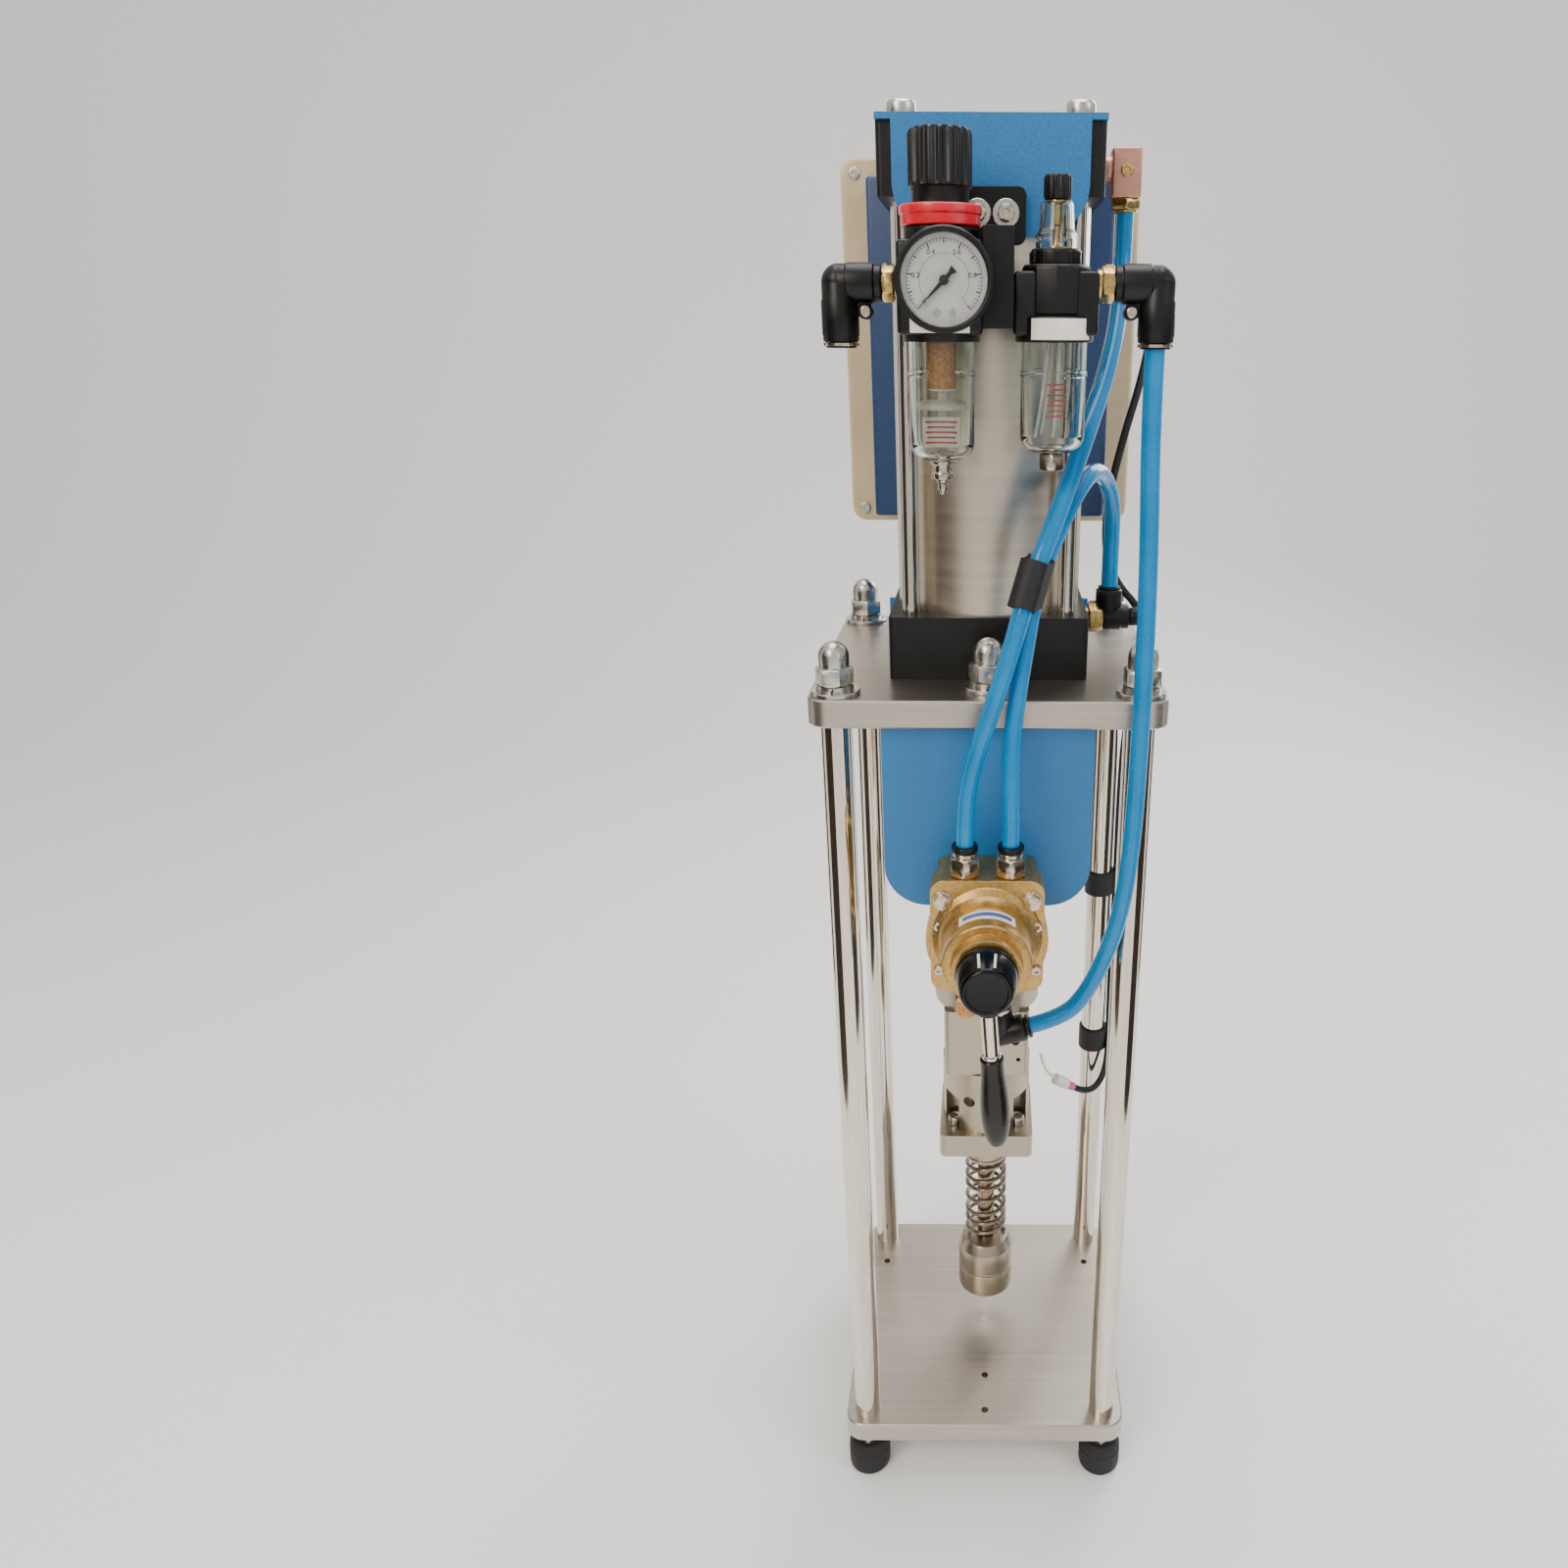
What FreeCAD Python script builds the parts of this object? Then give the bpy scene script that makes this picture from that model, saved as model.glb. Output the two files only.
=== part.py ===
import FreeCAD, Part
import math
import os

# Four-column pneumatic bench press with an air preparation set and a hand-lever valve.
# Millimetres. The origin is where the ram axis meets the work table, +Z up, -Y towards the operator.

V = FreeCAD.Vector
UP = V(0, 0, 1)
RIGHT = V(1, 0, 0)
BACK = V(0, 1, 0)

# frame
PLATE = 200.0
PLATE_T = 16.0
PLATE_R = 12.0
PLATE_EDGE = 1.0
TOP_UNDER = 528.0
TOP = TOP_UNDER + PLATE_T
COLUMN_XY = 85.0
COLUMN_R = 9.0
STUD_R = 6.0
STUD_HOLE_R = 6.5
STUD_END = TOP + 24.0
TAP_R = 2.5
FRONT_TAPS_Y = (-57.0, -87.0)
REAR_TAPS = ((-83.0, 56.0), (83.0, 56.0))

# nuts, washers and feet
NUT_AF = 19.0
NUT_H = 10.0
DOME_R = 8.5
FLAT_WASHER_R = 14.0
FLAT_WASHER_T = 2.5
SPRING_WASHER_R = 10.5
SPRING_WASHER_T = 3.0
FOOT_R = 15.0
FOOT_H = 26.0
BRACKET_BOLT_Y = -76.0

# cylinder, 100 mm bore and 150 mm stroke
CAP = 114.0
LOWER_CAP_TOP = TOP + 36.0
BARREL_TOP = LOWER_CAP_TOP + 213.0
UPPER_CAP_TOP = BARREL_TOP + 33.5
BARREL_R = 54.5
BORE_R = 50.0
TIE = 44.5
TIE_R = 5.0
TIE_NUT_R = 7.5
ROD_R = 12.5
ROD_HOLE_R = 20.0
BUSH_R = 16.0
RUN = 0.05
PISTON_LOW = LOWER_CAP_TOP + 3.0
PISTON_H = 32.0
PISTON_R = 49.5
SEAL_H = 5.0
ROD_NECK_R = 8.0

# head and sprung plunger
FLANGE = 66.0
FLANGE_LOW = 183.0
FLANGE_TOP = 201.0
BODY_R = 31.0
BLOCK_STEP = 250.0
BLOCK_NECK = 58.0
BLOCK_TOP = 301.0
DISC_R = 36.0
DISC_TOP = 325.0
POCKET_R = 8.0
FLANGE_SCREW_X = 22.5
FLANGE_SCREW_Y = 17.0
POCKET_H = 26.0
HEAD_CAVITY_R = 11.0
HEAD_CAVITY_TOP = 270.0
THREAD_DEPTH = 30.0
COLLAR_R = 16.5
COLLAR_LOW = 160.0
PLUNGER_R = 6.2
PLUNGER_HEAD_R = 9.8
CUP_R = 20.5
CUP_LOW = 39.0
CUP_TOP = 85.0
CUP_BORE_R = 14.0
CUP_DEPTH = 22.0
SPRING_MEAN_R = 14.0
SPRING_WIRE_R = 1.6
SPRING_TURNS = 7

# air preparation set
SET_Y = -100.0
PORT_Z = 752.0
REG_X = -23.5
LUB_X = 31.0
MODULE = 40.0
MODULE_LOW = 726.0
REG_TOP = 776.0
LUB_TOP = 760.0
RING_R = 19.5
RING_TOP = 785.0
KNOB_R = 15.0
KNOB_TOP = 816.5
BOWL_R = 16.0
BOWL_WALL = 2.0
FILTER_BOWL_LOW = 670.0
LUB_BOWL_LOW = 674.0
GAUGE_R = 22.3
GAUGE_X = -20.8
GAUGE_WALL = 2.8
GAUGE_BACK = -122.0
GAUGE_FRONT = -138.0
ELBOW_R = 9.0
LEFT_ELBOW_X = -72.0
RIGHT_ELBOW_X = 80.0
ELBOW_MOUTH = 723.0
SHEET = 3.0
SET_BRACKET_W = 98.0
SET_BRACKET_LOW = 775.0
TEE_X = 0.5
TEE_FOOT_T = 5.0
TEE_SCREW_X = (TEE_X - 7.0, TEE_X + 7.0)
TEE_SCREW_Z = 785.0

# hand valve
VALVE_Z = 414.0
VALVE_BRACKET_Y = -91.0
VALVE_BRACKET_W = 120.0
VALVE_BRACKET_LOW = 415.0
BODY_FRONT = -109.0
COVER_FRONT = -127.0
BOSS_FRONT = -159.0
NECK_FRONT = -166.5
HUB_BACK = -167.0
HUB_FRONT = -187.0
VALVE_W = 64.0
VALVE_LOW = 379.0
VALVE_TOP = 449.0
SHAFT_R = 6.0
LEVER_Y = -177.0
LEVER_ROD_R = 4.5
GRIP_TOP = 369.0
GRIP_LOW = 311.0
LEVER_LEAN = 3.5
TOP_FITTING_X = (-12.6, 12.9)
FITTING_Y = -118.0
FITTING_TOP = 467.0

# hoses and cable
HOSE_R = 5.0
CABLE_R = 2.5
LEAD_R = 1.2
UPPER_HOSE = ((73, 0, 791), (73, 0, 758), (67, -30, 722), (52, -67, 684), (36, -94, 646), (20.5, -112, 609),
              (12, -117, 578), (3, -117.6, 548), (-7, -117, 518), (-12.6, -118, 492), (-12.6, -118, 467))
LOWER_HOSE = ((73.5, 0, 587), (73.5, 0, 612), (72, -14, 641), (62, -38, 660), (51, -66, 659), (38, -86, 639),
              (24.5, -101.5, 609), (19.5, -108, 578), (15, -110, 548), (12.2, -114, 518), (12.9, -118, 492),
              (12.9, -118, 467))
SUPPLY_HOSE = ((80, -100, 723), (80, -100, 686), (82, -106, 625), (82.6, -109, 554), (81.4, -113, 498),
               (79.8, -116, 462), (76, -118, 427), (69, -118, 399), (59, -118, 374), (46, -118, 356),
               (26, -118, 350))
CABLE = ((82, 100, 748), (96, 100, 748), (102, 86, 729), (95, 69, 702), (84, 57, 668), (76, 54, 632),
         (75, 55, 600), (84, 56, 577), (101, 55, 560), (106.5, 58, 532), (104, 70, 501), (98, 82, 470),
         (97, 85, 415), (97.4, 84.6, 345), (97, 85.4, 276), (97.3, 84.9, 228), (97.5, 80, 200),
         (94, 69, 181), (86, 63, 171), (76, 60, 171),
         (69, 57.5, 176.5))
CONNECTOR = ((69, 57.5, 176.5), (53.2, 51.9, 188.9))
LEAD = ((53.2, 51.9, 188.9), (47, 49, 197), (43.5, 43, 209), (41, 36, 222))

# enclosure behind the cylinder
BOX_HALF = 74.0
BOX_FRONT = 62.0
BOX_BACK = 116.0
BOX_LOW = 619.0
BOX_TOP = 816.0
BACK_HALF = 95.0
BACK_LOW = 608.0
BACK_TOP = 832.0
BACK_T = 8.0

os.makedirs("parts", exist_ok=True)


def save(name, *solids):
    shape = solids[0] if len(solids) == 1 else Part.makeCompound(list(solids))
    shape.exportStep("parts/" + name + ".step")


def box(x0, x1, y0, y1, z0, z1):
    return Part.makeBox(x1 - x0, y1 - y0, z1 - z0, V(x0, y0, z0))


def rod(radius, start, end):
    a, b = V(*start), V(*end)
    return Part.makeCylinder(radius, a.distanceToPoint(b), a, b.sub(a))


def cone(r0, r1, start, end):
    a, b = V(*start), V(*end)
    return Part.makeCone(r0, r1, a.distanceToPoint(b), a, b.sub(a))


def ring(outer, inner, start, end):
    return rod(outer, start, end).cut(rod(inner, start, end))


def post(radius, x, y, z0, z1):
    return rod(radius, (x, y, z0), (x, y, z1))


def hexagon(flats, start, end):
    a, b = V(*start), V(*end)
    axis = b.sub(a)
    side = axis.cross(UP if abs(axis.normalize().z) < 0.9 else RIGHT).normalize()
    length = a.distanceToPoint(b)
    corner = flats / math.sqrt(3)
    turned = [a + FreeCAD.Rotation(axis, 60 * i).multVec(side * corner) for i in range(7)]
    return Part.Face(Part.makePolygon(turned)).extrude(axis * length)


def roundedFace(w, h, r):
    a, b = w / 2, h / 2
    k = r * (1 - math.sqrt(0.5))
    edges = []
    for sx, sy, swap in ((1, 1, 0), (-1, 1, 1), (-1, -1, 0), (1, -1, 1)):
        first, last = V(sx * a, sy * (b - r), 0), V(sx * (a - r), sy * b, 0)
        if swap:
            first, last = last, first
        edges.append(Part.Arc(first, V(sx * (a - k), sy * (b - k), 0), last).toShape())
    corners = [(e.Vertexes[0].Point, e.Vertexes[-1].Point) for e in edges]
    sides = [Part.makeLine(corners[i][1], corners[(i + 1) % 4][0]) for i in range(4)]
    wire = Part.Wire([e for pair in zip(edges, sides) for e in pair])
    return Part.Face(wire)


def roundedBlock(w, d, r, x, y, z0, z1):
    block = roundedFace(w, d, r).extrude(V(0, 0, z1 - z0))
    block.translate(V(x, y, z0))
    return block


def roundedPanel(w, h, r, x, z, y0, y1):
    panel = roundedFace(w, h, r).extrude(V(0, 0, y1 - y0))
    panel.rotate(V(0, 0, 0), RIGHT, -90)
    panel.translate(V(x, y0, z))
    return panel


def tab(w, top, low, r, y0, y1):
    half = w / 2
    k = r * (1 - math.sqrt(0.5))
    path = [Part.makeLine(V(-half, y0, low + r), V(-half, y0, top)),
            Part.makeLine(V(-half, y0, top), V(half, y0, top)),
            Part.makeLine(V(half, y0, top), V(half, y0, low + r)),
            Part.Arc(V(half, y0, low + r), V(half - k, y0, low + k), V(half - r, y0, low)).toShape(),
            Part.makeLine(V(half - r, y0, low), V(-half + r, y0, low)),
            Part.Arc(V(-half + r, y0, low), V(-half + k, y0, low + k), V(-half, y0, low + r)).toShape()]
    return Part.Face(Part.Wire(path)).extrude(V(0, y1 - y0, 0))


def tube(name, points, radius):
    # straight runs joined by tangent arcs, each arc as large as its two runs allow
    pts = [V(*p) for p in points]
    edges, here, radii = [], pts[0], []
    for before, corner, after in zip(pts, pts[1:], pts[2:]):
        a, b = before - corner, after - corner
        reach = 0.45 * min(a.Length, b.Length)
        half = (math.pi - a.getAngle(b)) / 2
        radii.append(reach / math.tan(half))
        a.normalize()
        b.normalize()
        start, end = corner + a * reach, corner + b * reach
        middle = a + b
        middle.normalize()
        inside = radii[-1] / math.cos(half) - radii[-1]
        edges.append(Part.LineSegment(here, start).toShape())
        edges.append(Part.Arc(start, corner + middle * inside, end).toShape())
        here = end
    edges.append(Part.LineSegment(here, pts[-1]).toShape())
    path = Part.Wire(edges)
    profile = Part.Wire([Part.makeCircle(radius, pts[0], pts[1] - pts[0])])
    solid = path.makePipeShell([profile], True, False)
    ideal = math.pi * radius ** 2 * path.Length
    print(name, "length", round(path.Length), "smallest radius", round(min(radii), 1),
          "volume ratio", round(solid.Volume / ideal, 4), "valid", solid.isValid())
    return solid


def corners(reach):
    return [(sx * reach, sy * reach) for sx in (-1, 1) for sy in (-1, 1)]


# frame

def easedPlate(z0, z1):
    plate = roundedBlock(PLATE, PLATE, PLATE_R, 0, 0, z0, z1)
    rims = [e for e in plate.Edges if abs(e.Vertexes[0].Z - e.Vertexes[-1].Z) < 0.01]
    return plate.makeChamfer(PLATE_EDGE, rims)


def basePlate():
    plate = easedPlate(-PLATE_T, 0)
    for x, y in corners(COLUMN_XY):
        plate = plate.cut(post(STUD_HOLE_R, x, y, -PLATE_T, 0))
    for x, y in [(0, y) for y in FRONT_TAPS_Y] + list(REAR_TAPS):
        plate = plate.cut(post(TAP_R, x, y, -PLATE_T, 0))
    save("base_plate", plate)


def topPlate():
    plate = easedPlate(TOP_UNDER, TOP)
    for x, y in corners(COLUMN_XY) + [(0, BRACKET_BOLT_Y)]:
        plate = plate.cut(post(STUD_HOLE_R, x, y, TOP_UNDER, TOP))
    save("top_plate", plate.cut(post(ROD_HOLE_R, 0, 0, TOP_UNDER, TOP)))


def columns():
    made = []
    for x, y in corners(COLUMN_XY):
        shaft = post(COLUMN_R, x, y, 0, TOP_UNDER)
        made.append(shaft.fuse([post(STUD_R, x, y, -38, 0), post(STUD_R, x, y, TOP_UNDER, STUD_END)]))
    save("columns", *made)


def nutsAndWashers():
    nuts, washers = [], []
    flat_top = TOP + FLAT_WASHER_T
    seat = flat_top + SPRING_WASHER_T
    for x, y in corners(COLUMN_XY) + [(0, BRACKET_BOLT_Y)]:
        washers.append(ring(FLAT_WASHER_R, STUD_HOLE_R, (x, y, TOP), (x, y, flat_top)))
        washers.append(ring(SPRING_WASHER_R, STUD_HOLE_R, (x, y, flat_top), (x, y, seat)))
        shell = hexagon(NUT_AF, (x, y, seat), (x, y, seat + NUT_H))
        dome_base = seat + NUT_H + 6
        shell = shell.fuse([post(DOME_R, x, y, seat + NUT_H, dome_base),
                            Part.makeSphere(DOME_R, V(x, y, dome_base), UP, 0, 90, 360)])
        nuts.append(shell.cut(post(STUD_R, x, y, seat, STUD_END)))
    save("acorn_nuts", *nuts)
    save("column_washers", *washers)


def feet():
    nuts, rubbers = [], []
    nut_low = -PLATE_T - NUT_H
    foot_low = nut_low - FOOT_H
    for x, y in corners(COLUMN_XY):
        nuts.append(hexagon(NUT_AF, (x, y, nut_low), (x, y, -PLATE_T)).cut(post(STUD_R, x, y, nut_low, -PLATE_T)))
        foot = post(FOOT_R, x, y, foot_low, nut_low - 4).fuse(
            cone(FOOT_R, FOOT_R - 2, (x, y, nut_low - 4), (x, y, nut_low)))
        rubbers.append(foot.cut(post(STUD_R, x, y, -38, nut_low)))
    for x, y in corners(TIE):
        nuts.append(ring(TIE_NUT_R, TIE_R, (x, y, UPPER_CAP_TOP + SHEET), (x, y, UPPER_CAP_TOP + SHEET + 7)))
    save("hex_nuts", *nuts)
    save("rubber_feet", *rubbers)


# cylinder

def cylinder():
    lower = roundedBlock(CAP, CAP, 3, 0, 0, TOP, LOWER_CAP_TOP).cut(post(BUSH_R, 0, 0, TOP, LOWER_CAP_TOP))
    upper = roundedBlock(CAP, CAP, 3, 0, 0, BARREL_TOP, UPPER_CAP_TOP)
    for x, y in corners(TIE):
        lower = lower.cut(post(TIE_R, x, y, TOP, LOWER_CAP_TOP))
        upper = upper.cut(post(TIE_R, x, y, BARREL_TOP, UPPER_CAP_TOP))
    save("lower_cap", lower)
    save("upper_cap", upper)
    save("barrel", ring(BARREL_R, BORE_R, (0, 0, LOWER_CAP_TOP), (0, 0, BARREL_TOP)))
    save("tie_rods", *[post(TIE_R, x, y, TOP, UPPER_CAP_TOP + SHEET + 7) for x, y in corners(TIE)])
    save("rod_bush", ring(BUSH_R, ROD_R + RUN, (0, 0, TOP), (0, 0, LOWER_CAP_TOP)))


def pistonAndRod():
    top = PISTON_LOW + PISTON_H
    piston = ring(PISTON_R, ROD_NECK_R, (0, 0, PISTON_LOW), (0, 0, top))
    seals = []
    for z in (PISTON_LOW + 5, top - 5 - SEAL_H):
        groove = ring(PISTON_R, PISTON_R - 4, (0, 0, z), (0, 0, z + SEAL_H))
        piston = piston.cut(groove)
        seals.append(ring(BORE_R - RUN, PISTON_R - 4, (0, 0, z), (0, 0, z + SEAL_H)))
    save("piston", piston)
    save("piston_seals", *seals)
    shaft = post(ROD_R, 0, 0, DISC_TOP, PISTON_LOW)
    neck = [post(ROD_NECK_R, 0, 0, DISC_TOP - THREAD_DEPTH, DISC_TOP), post(ROD_NECK_R, 0, 0, PISTON_LOW, top)]
    save("piston_rod", shaft.fuse(neck))


def ports():
    elbow = roundedBlock(16, 16, 1.5, 72.6, 0, 798, 822)
    stem = [rod(5, (CAP / 2, 0, 812), (64.7, 0, 812)), hexagon(15, (73, 0, 791), (73, 0, 798))]
    save("port_elbow", elbow.fuse(stem))
    banjo = hexagon(17, (61, 0, 568), (70, 0, 568)).fuse([rod(6, (CAP / 2, 0, 568), (61, 0, 568)),
                                                         rod(8, (70, 0, 568), (86, 0, 568)),
                                                         post(8, 73.5, 0, 568, 587)])
    save("flow_control", banjo.cut(rod(2.5 + RUN, (76, 0, 568), (86, 0, 568))))
    knob = rod(5.5, (86.3, 0, 568), (96, 0, 568)).fuse(rod(2.5, (77, 0, 568), (86.3, 0, 568)))
    save("flow_screw", knob)


# head and sprung plunger

def flangeScrewPlaces():
    return [(sx * FLANGE_SCREW_X, sy * FLANGE_SCREW_Y) for sx in (-1, 1) for sy in (-1, 1)]


def head():
    block = post(BODY_R, 0, 0, FLANGE_TOP, BLOCK_STEP)
    block = block.fuse([roundedBlock(BLOCK_NECK, BLOCK_NECK, 4, 0, 0, BLOCK_STEP, BLOCK_TOP),
                        post(DISC_R, 0, 0, BLOCK_TOP, DISC_TOP)])
    for x, y in flangeScrewPlaces():
        block = block.cut(post(POCKET_R, x, y, FLANGE_TOP, FLANGE_TOP + POCKET_H))
    face = -BLOCK_NECK / 2
    block = block.cut([post(HEAD_CAVITY_R, 0, 0, FLANGE_TOP, HEAD_CAVITY_TOP),
                       post(ROD_NECK_R, 0, 0, DISC_TOP - THREAD_DEPTH, DISC_TOP),
                       rod(4, (-12, -BODY_R, 227), (-12, -20, 227)),
                       rod(2.5, (20, face, 277), (20, face + 8, 277)),
                       rod(1.5, (22, face, 263), (22, face + 8, 263))])
    save("head_block", block)


def flange():
    plate = roundedBlock(FLANGE, FLANGE, 5, 0, 0, FLANGE_LOW, FLANGE_TOP)
    plate = plate.cut(post(PLUNGER_R + RUN, 0, 0, FLANGE_LOW, FLANGE_TOP))
    screws = []
    for x, y in flangeScrewPlaces():
        plate = plate.cut(post(3, x, y, FLANGE_LOW + 4, FLANGE_TOP))
        screw_head = post(5, x, y, FLANGE_TOP, FLANGE_TOP + 6)
        screws.append(screw_head.cut(hexagon(5, (x, y, FLANGE_TOP + 3), (x, y, FLANGE_TOP + 6))).fuse(
            post(3, x, y, FLANGE_LOW + 4, FLANGE_TOP)))
    save("flange_plate", plate)
    save("flange_screws", *screws)
    save("guide_collar", ring(COLLAR_R, PLUNGER_R + RUN, (0, 0, COLLAR_LOW), (0, 0, FLANGE_LOW)))


def plunger():
    stem = post(PLUNGER_R, 0, 0, 72, FLANGE_TOP + 0.2).fuse(
        post(PLUNGER_HEAD_R, 0, 0, FLANGE_TOP + 0.2, FLANGE_TOP + 7))
    save("plunger_rod", stem)
    cup = post(CUP_R, 0, 0, CUP_LOW, 58).fuse([post(CUP_R - 1.2, 0, 0, 58, 61), post(CUP_R, 0, 0, 61, 78),
                                               cone(CUP_R, CUP_R - 3, (0, 0, 78), (0, 0, CUP_TOP))])
    cup = cup.cut([post(CUP_BORE_R, 0, 0, CUP_LOW, CUP_LOW + CUP_DEPTH), post(PLUNGER_R, 0, 0, 72, CUP_TOP)])
    save("plunger_cup", cup)
    low = CUP_TOP + SPRING_WIRE_R + 0.1
    height = COLLAR_LOW - SPRING_WIRE_R - 0.1 - low
    helix = Part.makeHelix(height / SPRING_TURNS, height, SPRING_MEAN_R)
    helix.translate(V(0, 0, low))
    wire_end = Part.Wire([Part.makeCircle(SPRING_WIRE_R, V(SPRING_MEAN_R, 0, low), BACK)])
    save("plunger_spring", Part.Wire(helix).makePipeShell([wire_end], True, True))


# air preparation set

def setBracket():
    front = -CAP / 2 - SHEET
    plate = box(-CAP / 2, CAP / 2, front, CAP / 2, UPPER_CAP_TOP, UPPER_CAP_TOP + SHEET)
    for x, y in corners(TIE):
        plate = plate.cut(post(TIE_R, x, y, UPPER_CAP_TOP, UPPER_CAP_TOP + SHEET))
    face = tab(SET_BRACKET_W, UPPER_CAP_TOP, SET_BRACKET_LOW, 24, front, -CAP / 2)
    save("set_bracket", plate.fuse(face))


def regulator():
    body = roundedBlock(MODULE, MODULE, 3, REG_X, SET_Y, MODULE_LOW, REG_TOP)
    save("regulator_body", body.cut(post(6 + RUN, REG_X, SET_Y, REG_TOP - 12, REG_TOP)))
    save("lock_ring", ring(RING_R, 6 + RUN, (REG_X, SET_Y, REG_TOP), (REG_X, SET_Y, RING_TOP)))
    knob = post(KNOB_R - 1.5, REG_X, SET_Y, RING_TOP + 0.3, RING_TOP + 7).fuse(
        [post(KNOB_R, REG_X, SET_Y, RING_TOP + 7, KNOB_TOP - 1.5),
         cone(KNOB_R, KNOB_R - 1.5, (REG_X, SET_Y, KNOB_TOP - 1.5), (REG_X, SET_Y, KNOB_TOP)),
         post(6, REG_X, SET_Y, REG_TOP - 11, RING_TOP + 0.3)])
    for i in range(18):
        turn = math.radians(20 * i)
        x, y = REG_X + KNOB_R * math.cos(turn), SET_Y + KNOB_R * math.sin(turn)
        knob = knob.cut(post(0.9, x, y, RING_TOP + 9, KNOB_TOP - 3))
    save("regulator_knob", knob)


def bowl(x, low, end_r):
    outer = post(BOWL_R, x, SET_Y, low + 10, MODULE_LOW).fuse(
        cone(end_r, BOWL_R, (x, SET_Y, low), (x, SET_Y, low + 10)))
    inner_r = BOWL_R - BOWL_WALL
    inner = post(inner_r, x, SET_Y, low + 11, MODULE_LOW).fuse(
        cone(end_r - BOWL_WALL, inner_r, (x, SET_Y, low + 2), (x, SET_Y, low + 11)))
    return outer.cut(inner)


def filterAndDrain():
    low = FILTER_BOWL_LOW
    socket = post(5, REG_X, SET_Y, low - 7, low + 2)
    socket = socket.cut(post(1.5 + RUN, REG_X, SET_Y, low - 7, low + 1))
    save("filter_bowl", bowl(REG_X, low, 9).fuse(socket))
    save("filter_element", post(8, REG_X, SET_Y, 698, MODULE_LOW).fuse(post(11, REG_X, SET_Y, 694, 698)))
    pin = post(1.5, REG_X, SET_Y, low - 16, low - 3).fuse(post(2.6, REG_X, SET_Y, low - 14, low - 10.5))
    save("drain_pin", pin)


def gauge():
    x, z = GAUGE_X, PORT_Z
    case = rod(GAUGE_R, (x, GAUGE_FRONT, z), (x, GAUGE_BACK, z))
    case = case.cut(rod(GAUGE_R - GAUGE_WALL, (x, GAUGE_FRONT, z), (x, GAUGE_FRONT + 6, z)))
    stem = rod(5, (x, GAUGE_BACK, z), (x, SET_Y - MODULE / 2, z))
    pin_hole = rod(0.8 + RUN, (x, GAUGE_FRONT + 4, z), (x, GAUGE_FRONT + 8, z))
    save("gauge_case", case.fuse(stem).cut(pin_hole))
    dial = rod(GAUGE_R - GAUGE_WALL, (x, GAUGE_FRONT + 5, z), (x, GAUGE_FRONT + 6, z))
    save("gauge_dial", dial.cut(pin_hole))
    save("gauge_lens", rod(GAUGE_R - GAUGE_WALL, (x, GAUGE_FRONT + 0.5, z), (x, GAUGE_FRONT + 2, z)))
    y0, y1 = GAUGE_FRONT + 3, GAUGE_FRONT + 4
    outline = [V(x + dx, y0, z + dz) for dx, dz in
               ((15.5, 0), (2, 0.9), (-4, 0.9), (-6.5, 1.8), (-6.5, -1.8), (-4, -0.9), (2, -0.9), (15.5, 0))]
    blade = Part.Face(Part.makePolygon(outline)).extrude(V(0, y1 - y0, 0))
    needle = blade.fuse([rod(2, (x, y0, z), (x, y1, z)), rod(0.8, (x, y1, z), (x, GAUGE_FRONT + 7.5, z))])
    needle.rotate(V(x, 0, z), BACK, 135)
    save("gauge_needle", needle)


def teeBracket():
    back = -CAP / 2 - SHEET
    left, right = REG_X + MODULE / 2, LUB_X - MODULE / 2
    arm = box(left, right, SET_Y - 14, back - TEE_FOOT_T, MODULE_LOW + 6, TEE_SCREW_Z - 9)
    foot = roundedPanel(34, 26, 4, TEE_X, TEE_SCREW_Z - 1, back - TEE_FOOT_T, back)
    tee = arm.fuse(foot)
    for x in TEE_SCREW_X:
        tee = tee.cut(rod(2.5, (x, back - TEE_FOOT_T, TEE_SCREW_Z), (x, back, TEE_SCREW_Z)))
    save("tee_bracket", tee)


def lubricator():
    body = roundedBlock(MODULE, MODULE, 3, LUB_X, SET_Y, MODULE_LOW, LUB_TOP)
    save("lubricator_body", body.fuse(post(12, LUB_X, SET_Y, LUB_TOP, 767)))
    dome = post(10, LUB_X, SET_Y, 767, 774).fuse(cone(10, 8, (LUB_X, SET_Y, 774), (LUB_X, SET_Y, 787)))
    dome = dome.cut([post(7, LUB_X, SET_Y, 767, 772), post(2 + RUN, LUB_X, SET_Y, 772, 787)])
    save("sight_dome", dome)
    save("drip_knob", post(6.5, LUB_X, SET_Y, 787.3, 798).fuse(post(2, LUB_X, SET_Y, 773, 787.3)))
    low = LUB_BOWL_LOW
    save("lubricator_bowl", bowl(LUB_X, low, 10).fuse(hexagon(13, (LUB_X, SET_Y, low - 8), (LUB_X, SET_Y, low))))


def elbowsAndNipples():
    nipples, elbows = [], []
    for side, face, x in ((-1, REG_X - MODULE / 2, LEFT_ELBOW_X), (1, LUB_X + MODULE / 2, RIGHT_ELBOW_X)):
        start = face + side * 8
        nipples.append(hexagon(15, (face, SET_Y, PORT_Z), (start, SET_Y, PORT_Z)))
        body = rod(ELBOW_R, (start, SET_Y, PORT_Z), (x, SET_Y, PORT_Z)).fuse(
            [Part.makeSphere(ELBOW_R, V(x, SET_Y, PORT_Z)), post(ELBOW_R, x, SET_Y, ELBOW_MOUTH, PORT_Z)])
        elbows.append(body)
    elbows[0] = elbows[0].cut(post(HOSE_R + 0.1, LEFT_ELBOW_X, SET_Y, ELBOW_MOUTH, ELBOW_MOUTH + 18))
    save("pipe_nipples", *nipples)
    save("push_in_elbows", *elbows)


# hand valve

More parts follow.
